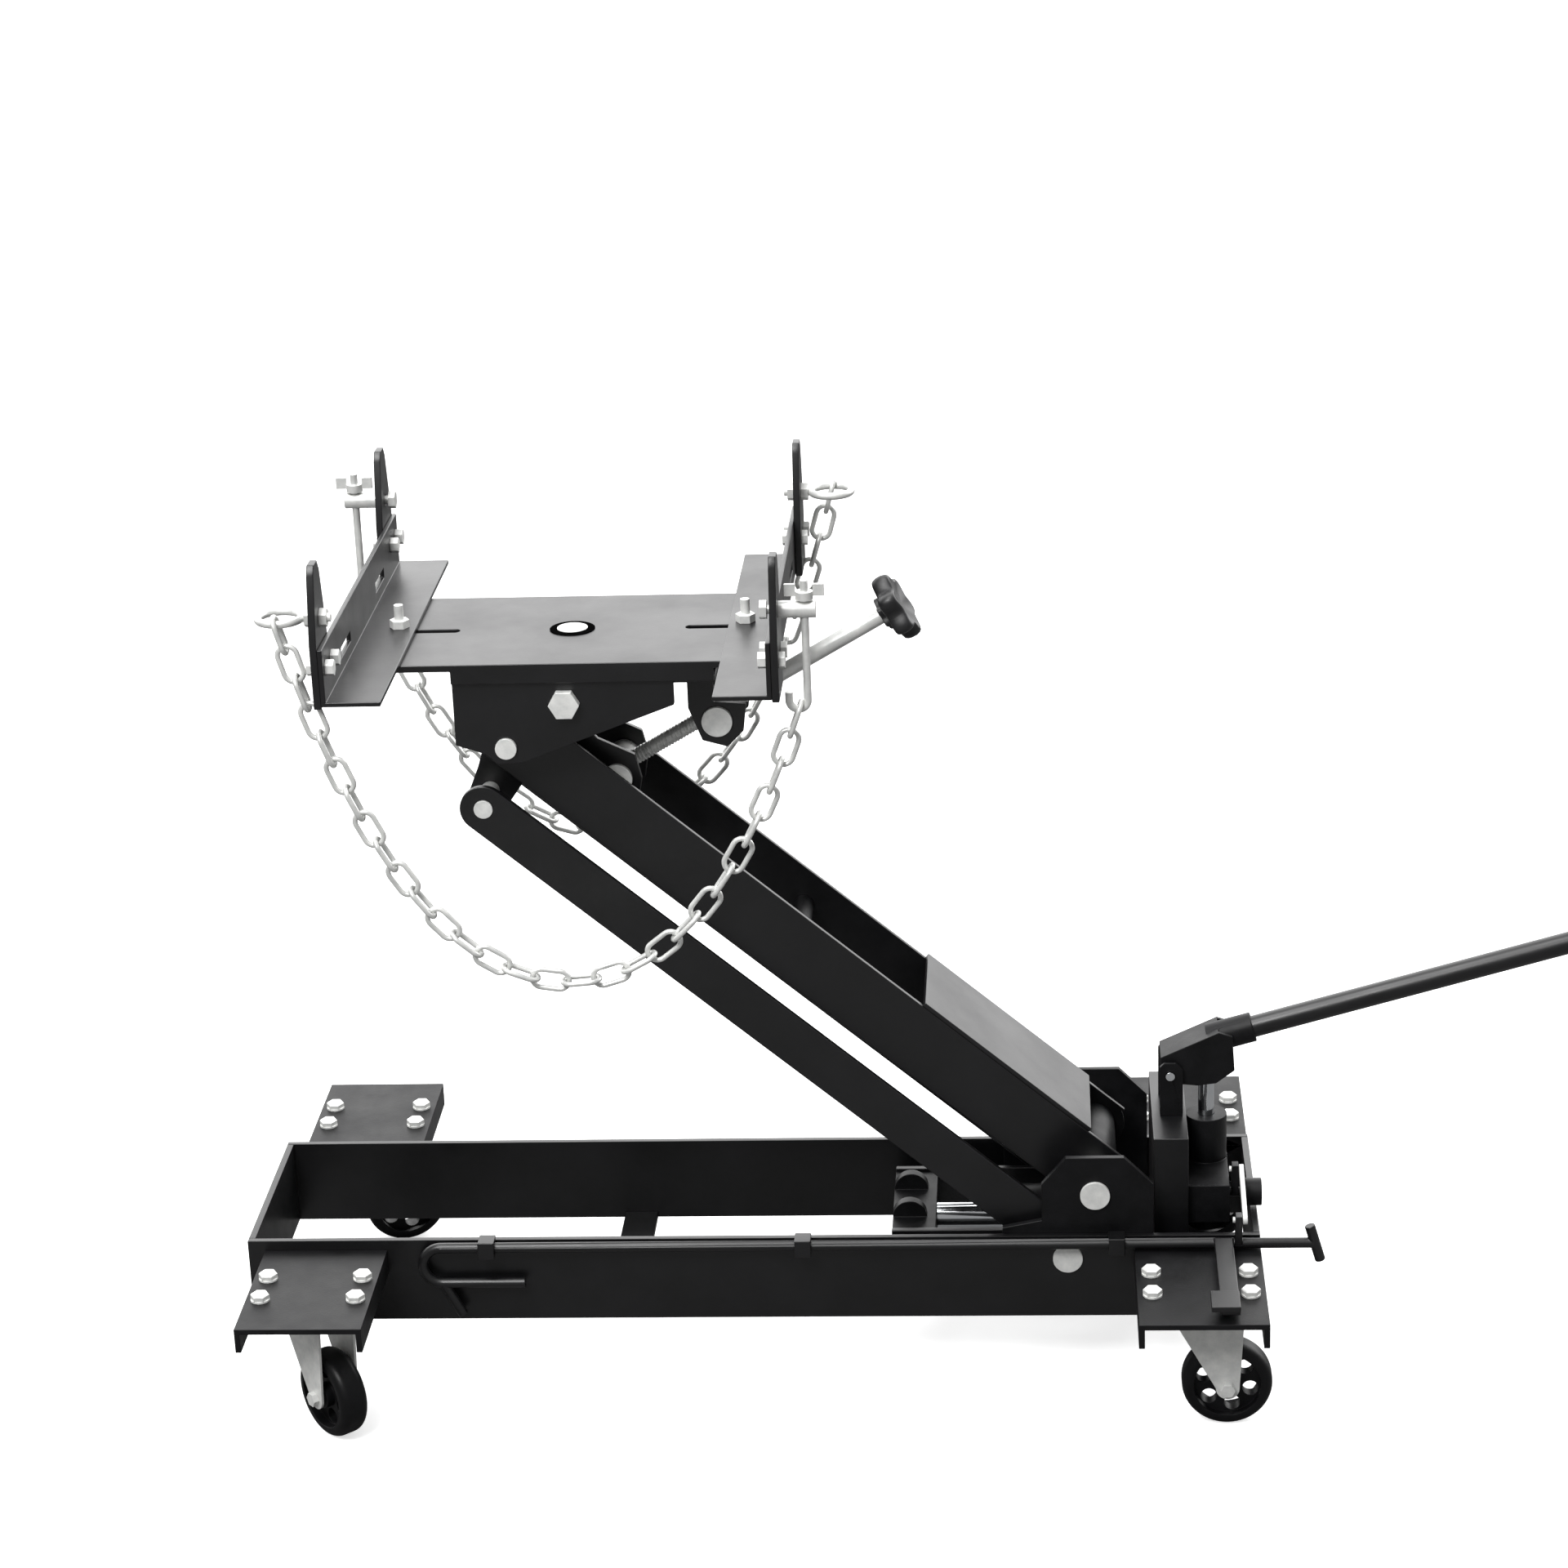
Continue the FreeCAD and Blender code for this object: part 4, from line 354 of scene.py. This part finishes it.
# %% Hang both chains
def catenary(start, end, length, first, pitch, count):
    """Link centres of a chain of a given length, hanging from start to end."""
    flat = Vector((end.x - start.x, end.y - start.y)).length
    drop = end.z - start.z
    target = math.sqrt(length ** 2 - drop ** 2) / flat
    low, high = 1e-3, 20.0
    for _ in range(80):
        middle = (low + high) / 2
        low, high = (middle, high) if math.sinh(middle) / middle < target else (low, middle)
    scale = flat / (2 * low)
    centre = flat / 2 - scale * math.atanh(drop / length)
    begin = scale * math.sinh(-centre / scale)
    base = start.z - scale * math.cosh(centre / scale)
    level = Vector((end.x - start.x, end.y - start.y, 0)).normalized()
    places = []
    for index in range(count + 1):
        height = math.asinh((begin + first + pitch * index) / scale)
        spot = Vector((start.x, start.y, base + scale * math.cosh(height)))
        places.append(spot + level * (centre + scale * height))
    return places


RING_WIRE, RING_RADIUS = 3.2 * MM, 17.5 * MM
HOOK_WIRE, HOOK_BEND, WING = 3.2 * MM, 7.5 * MM, 16 * MM
HELD_RING, HELD_HOOK = 9.1 * MM, 8.8 * MM
LINKS = 29
ring_low, ring_high = (Vector(corner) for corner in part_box("ring_bolts"))
hook_low, hook_high = (Vector(corner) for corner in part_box("hook_bolts"))
anchor_height = (ring_low.z + ring_high.z) / 2
hook_height = hook_low.z + HOOK_WIRE
row = ring_high.y - RING_WIRE - RING_RADIUS
ring_near = Vector((ring_low.x + RING_WIRE + RING_RADIUS, ring_low.y + RING_WIRE, anchor_height))
ring_far = Vector((ring_high.x - RING_WIRE - RING_RADIUS, ring_high.y - RING_WIRE, anchor_height))
hook_near = Vector((hook_high.x - WING - HOOK_BEND, -row, hook_height))
hook_far = Vector((hook_low.x + WING + HOOK_BEND, row, hook_height))


def hang_chain(name, start, end, first, last, *replaced):
    """One chain from left to right, in place of its plain links."""
    steps = LINKS - 1
    places = catenary(start, end, first + last + steps * CHAIN["Pitch"], first, CHAIN["Pitch"], steps)
    curve = bpy.data.curves.new(name, "CURVE")
    curve.dimensions = "3D"
    line = curve.splines.new("POLY")
    line.points.add(steps)
    for point, place in zip(line.points, places):
        point.co = (*place, 1)
    piece = grow(name, curve, chain_tree, "table", "zinc", CHAIN, *replaced, sharp=60)
    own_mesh(piece)
    print(name, "links", LINKS, "lowest", round(min(p.z for p in places), 3))


hang_chain("load_chain_near", ring_near, hook_near, HELD_RING, HELD_HOOK, "chains")
hang_chain("load_chain_far", hook_far, ring_far, HELD_HOOK, HELD_RING)

# %% [markdown]
# ### Caster bolts
# Each caster plate is held by four hexagon bolts with a washer above and a nut below.
# A forged head has a chamfered top, so a short cone sits on the hexagon.

# %% Bolt tree
BOLT = {"Corner": 8.2 * MM, "Shank": 4.0 * MM}
BOLT_ALONG, BOLT_ACROSS = 41 * MM, 19 * MM
tree, given = new_tree("hex_bolts", **BOLT)


def disc(radius, low, high, sides, taper=1.0):
    """A round or hexagonal slice of a bolt between two heights, narrowing to its top."""
    top = add(tree, "ShaderNodeMath", {0: radius}, {1: taper}, operation="MULTIPLY")
    cone = add(tree, "GeometryNodeMeshCone", {"Radius Bottom": radius, "Radius Top": top.outputs[0]},
               {"Vertices": sides, "Depth": (high - low) * MM})
    return add(tree, "GeometryNodeTransform", {"Geometry": cone.outputs["Mesh"]},
               {"Translation": (0, 0, low * MM)})


corner, shank_radius = given.outputs["Corner"], given.outputs["Shank"]
slices = [disc(corner, 1.4, 5.2, 6),                # head
          disc(corner, 5.2, 6.3, 6, 0.86),          # its chamfer
          disc(corner, 0.0, 1.4, 28, 0.99),         # washer
          disc(shank_radius, -22.5, -9.0, 20),      # shank below the plate
          disc(corner, -15.2, -9.0, 6),             # nut
          disc(shank_radius, -23.3, -22.5, 20)]     # shank's end
joined = add(tree, "GeometryNodeJoinGeometry")
for piece in slices:
    tree.links.new(piece.outputs[0], joined.inputs[0])
bolts_placed = add(tree, "GeometryNodeInstanceOnPoints",
                   {"Points": given.outputs["Geometry"], "Instance": joined.outputs[0]})
close_tree(tree, bolts_placed.outputs[0], zinc_plate)
swivels = [Vector(joint["pos_m"]) for name, joint in joints.items() if name.startswith("swivel_")]
deck_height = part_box("caster_plates_front")[1][2]
spots = [Vector((s.x + x * BOLT_ALONG, s.y + y * BOLT_ACROSS, deck_height))
         for s in swivels for x in (-1, 1) for y in (-1, 1)]
grow("caster_bolts_finished", points_mesh("bolt_spots", spots), tree, "chassis", "zinc", BOLT, "caster_bolts")
print("bolts", len(spots))

# %% [markdown]
# ### The tilt screw
# A long screw through two trunnions tilts the table. Only its lower half is threaded,
# and the thread is a helix swept with a small profile, so light breaks on its turns.

# %% Thread tree
screw_joint = joints["tilt_screw_turn"]
screw_axis = Vector(screw_joint["axis"]).normalized()
screw_foot = Vector(screw_joint["pos_m"])
THREAD = {"Radius": 6.2 * MM, "Length": 282 * MM, "Threaded": 150 * MM, "Tooth": 0.8 * MM}
THREAD_TURNS = 50
SHANK_RADIUS, SCREW_BEHIND_TRUNNION, KNOB_DISTANCE = 7 * MM, 20 * MM, 262 * MM
shank_length = THREAD["Length"] - THREAD["Threaded"]
shank_middle = THREAD["Threaded"] + shank_length / 2
tree, given = new_tree("screw_thread", **THREAD)
helix = add(tree, "GeometryNodeCurveSpiral",
            {"Start Radius": given.outputs["Radius"], "End Radius": given.outputs["Radius"],
             "Height": given.outputs["Threaded"]}, {"Resolution": 24, "Rotations": THREAD_TURNS})
tooth = add(tree, "GeometryNodeCurvePrimitiveCircle", {"Radius": given.outputs["Tooth"]}, {"Resolution": 5})
ridge = add(tree, "GeometryNodeCurveToMesh", {"Curve": helix.outputs[0], "Profile Curve": tooth.outputs[0]})
core = add(tree, "GeometryNodeMeshCylinder",
           {"Radius": given.outputs["Radius"], "Depth": given.outputs["Length"]}, {"Vertices": 32})
lift = add(tree, "GeometryNodeTransform", {"Geometry": core.outputs["Mesh"]},
           {"Translation": (0, 0, THREAD["Length"] / 2)})
plain = add(tree, "GeometryNodeMeshCylinder", {},
            {"Vertices": 48, "Radius": SHANK_RADIUS, "Depth": shank_length})
shank = add(tree, "GeometryNodeTransform", {"Geometry": plain.outputs["Mesh"]},
            {"Translation": (0, 0, shank_middle)})
both = add(tree, "GeometryNodeJoinGeometry")
for piece in (ridge, lift, shank):
    tree.links.new(piece.outputs[0], both.inputs[0])
turn = Vector((0, 0, 1)).rotation_difference(screw_axis).to_euler()
placed = add(tree, "GeometryNodeTransform", {"Geometry": both.outputs[0]},
             {"Translation": screw_foot - screw_axis * SCREW_BEHIND_TRUNNION, "Rotation": turn})
close_tree(tree, placed.outputs[0], drawn_zinc)
grow("tilt_screw_threaded", points_mesh("screw_start", [(0, 0, 0)]), tree, "screw", "chrome", THREAD,
     "tilt_screw")
print("thread turns", THREAD_TURNS)

# %% [markdown]
# ## Knobs and grip
# The hand knobs are moulded with six soft lobes, too rounded for a plain disc, so
# their outline is a wave round a circle and their section a curve with soft shoulders.


# %% Turned and lobed shapes
def revolve(name, section, material, foot, axis, lobes=0, wave=0.0, steps=60):
    """A closed shape of rings along an axis; section is (along, radius) in millimetres."""
    grid = bmesh.new()
    turn = Vector((0, 0, 1)).rotation_difference(axis).to_matrix()
    rings = []
    for along, radius in section:
        ring = []
        for step in range(steps):
            angle = 2 * math.pi * step / steps
            reach = radius * (1 + wave * math.cos(lobes * angle))
            spot = Vector((reach * math.cos(angle), reach * math.sin(angle), along)) * MM
            ring.append(grid.verts.new(foot + turn @ spot))
        rings.append(ring)
    for below, above in zip(rings, rings[1:]):
        for step in range(steps):
            after = (step + 1) % steps
            grid.faces.new((below[step], below[after], above[after], above[step]))
    grid.faces.new(rings[0][::-1])
    grid.faces.new(rings[-1])
    bmesh.ops.recalc_face_normals(grid, faces=grid.faces)
    mesh = bpy.data.meshes.new(name)
    grid.to_mesh(mesh)
    grid.free()
    mesh.materials.append(material)
    mesh.polygons.foreach_set("use_smooth", [True] * len(mesh.polygons))
    mesh.set_sharp_from_angle(angle=math.radians(40))
    return mesh


def knob_section(radius, neck, neck_length, depth):
    """A knob's section: a neck, then a rim with rounded shoulders and a dished face."""
    rim = [(neck_length + depth * (0.5 - 0.5 * math.cos(math.pi * t)),
            radius * (0.86 + 0.14 * math.sin(math.pi * t)))
           for t in (0.0, 0.12, 0.25, 0.4, 0.6, 0.75, 0.88, 1.0)]
    face = [(neck_length + depth - 0.5, radius * 0.78), (neck_length + depth - 2.5, radius * 0.5),
            (neck_length + depth - 3.0, radius * 0.2)]
    stem = [(0, neck * 0.92), (0.8, neck), (neck_length * 0.95, neck), (neck_length, radius * 0.7)]
    return [*stem, *rim, *face]


# %% Tilt knob, side knob, grip, and a ring of painted shade round the table's bolt
LOBES, LOBE_DEPTH = 6, 0.15
SLEEVE_RADIUS, HANDLE_RISE, GRIP_LENGTH = 13.5 * MM, math.radians(15.7), 124 * MM
knob_foot = screw_foot + screw_axis * KNOB_DISTANCE
tilt_knob = revolve("tilt_knob_moulded", knob_section(26.5, 13, 6, 16), moulded_nylon, knob_foot, screw_axis,
                    LOBES, LOBE_DEPTH)
stand("tilt_knob_moulded", tilt_knob, "screw", "black_plastic", "tilt_knob")
side_low, side_high = (Vector(corner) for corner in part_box("side_knob"))
side_foot = Vector(joints["side_knob_turn"]["pos_m"])
side_foot.y = side_low.y
side_knob = revolve("side_knob_moulded", knob_section(24.5, 11, 20, 18), moulded_nylon, side_foot,
                    Vector((0, 1, 0)), LOBES, LOBE_DEPTH)
stand("side_knob_moulded", side_knob, "rock_knob", "black_plastic", "side_knob")
grip_low, grip_high = (Vector(corner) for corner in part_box("handle_grip"))
handle_axis = Vector((math.cos(HANDLE_RISE), 0, math.sin(HANDLE_RISE)))
grip_end = Vector((grip_high.x - SLEEVE_RADIUS * math.sin(HANDLE_RISE), 0,
                   grip_high.z - SLEEVE_RADIUS * math.cos(HANDLE_RISE)))
grip = [(0, 9.8), (0.4, 12.2), (1.6, 13.2)]
for groove in range(18):
    start = 4 + 6.2 * groove
    grip += [(start, 13.4), (start + 3.4, 13.4), (start + 4.2, 12.4), (start + 5.4, 12.4)]
grip += [(119, 13.4), (122.4, 12.9), (123.8, 11.4), (124, 9.0)]
grip_mesh = revolve("handle_grip_ribbed", grip, vinyl_grip, grip_end - handle_axis * GRIP_LENGTH, handle_axis)
stand("handle_grip_ribbed", grip_mesh, "lever", "grip", "handle_grip")
# A thin black ring on the table round its bolt is painted shade. It stands for the dark recess of the bolt's
# clearance and is not a real part.
table_low, table_high = (Vector(corner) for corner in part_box("table_plate"))
gap_shade_foot = Vector(((table_low.x + table_high.x) / 2, (table_low.y + table_high.y) / 2, table_high.z))
gap_shade_section = [(0.02, 18.6), (0.3, 19.2), (0.7, 19.2), (0.9, 18.8)]
gap_shade_ring = revolve("table_gap_shade", gap_shade_section, painted_gap_shade, gap_shade_foot, Vector((0, 0, 1)))
stand("table_gap_shade", gap_shade_ring, "table", "black_paint")
# The last of these is the black ring of painted shade round the table's bolt.
print("knobs, grip and washer made")

# %% [markdown]
# ## Floor and light
# Black gloss shows only the room. A catalogue picture of it has a bright wall behind,
# whose reflection turns every level face silver, and a dark room in front, which leaves
# the upright faces black. The lens itself sees plain white paper.

# %% Paper floor
floor_mesh = bpy.data.meshes.new("studio_floor")
REACH = 30
floor_mesh.from_pydata([(-REACH, -REACH, 0), (REACH, -REACH, 0), (REACH, REACH, 0), (-REACH, REACH, 0)], [],
                       [(0, 1, 2, 3)])
paper = bpy.data.materials.new("paper_floor")
paper.use_nodes = True
tree = paper.node_tree
tree.nodes.clear()
seen = add(tree, "ShaderNodeLightPath").outputs["Is Camera Ray"]
dim = add(tree, "ShaderNodeBsdfDiffuse", None, {"Color": linear("#6E6E6E")})
white = add(tree, "ShaderNodeBsdfDiffuse", None, {"Color": linear("#E6E6E6")})
glow = add(tree, "ShaderNodeEmission", None, {"Color": linear("#FFFFFF"), "Strength": 0.62})
lit = add(tree, "ShaderNodeAddShader", {0: white.outputs[0], 1: glow.outputs[0]})
floor_shader = add(tree, "ShaderNodeMixShader", {0: seen, 1: dim.outputs[0], 2: lit.outputs[0]})
add(tree, "ShaderNodeOutputMaterial", {"Surface": floor_shader.outputs[0]})
floor_mesh.materials.append(paper)
floor = bpy.data.objects.new("studio_floor", floor_mesh)
bpy.context.collection.objects.link(floor)

# %% Room: a bright wall behind, a dark one in front
world = bpy.data.worlds.new("studio")
world.use_nodes = True
tree = world.node_tree
tree.nodes.clear()
direction = add(tree, "ShaderNodeTexCoord").outputs["Generated"]
parts = add(tree, "ShaderNodeSeparateXYZ", {0: direction})
wall = add(tree, "ShaderNodeMapRange", {"Value": parts.outputs["Y"]},
           {"From Min": 0.05, "From Max": 0.6, "To Min": 0.35, "To Max": 2.8},
           interpolation_type="SMOOTHSTEP")
seen = add(tree, "ShaderNodeLightPath").outputs["Is Camera Ray"]
strength = add(tree, "ShaderNodeMix", {0: seen, 2: wall.outputs[0]}, {3: 1.0})
room = add(tree, "ShaderNodeBackground", {"Strength": strength.outputs[0]}, {"Color": linear("#FFFFFF")})
add(tree, "ShaderNodeOutputWorld", {"Surface": room.outputs[0]})
bpy.context.scene.world = world

# %% Lamps
target = Vector((rails_front + 0.5, 0, 0.35))


def softbox(name, place, width, power):
    """A square area light that faces the jack."""
    light = bpy.data.lights.new(name, "AREA")
    light.size = width
    light.energy = power
    lamp = bpy.data.objects.new(name, light)
    lamp.location = target + Vector(place)
    lamp.rotation_euler = (-Vector(place)).to_track_quat("-Z", "Y").to_euler()
    bpy.context.collection.objects.link(lamp)


softbox("overhead", (-0.6, -0.6, 3.2), 1.8, 70)
softbox("front_left", (-1.2, -2.6, 2.8), 1.4, 120)
softbox("rear_right", (2.6, 1.6, 1.8), 1.6, 30)
bpy.context.scene.view_settings.view_transform = "Standard"
print("studio ready")
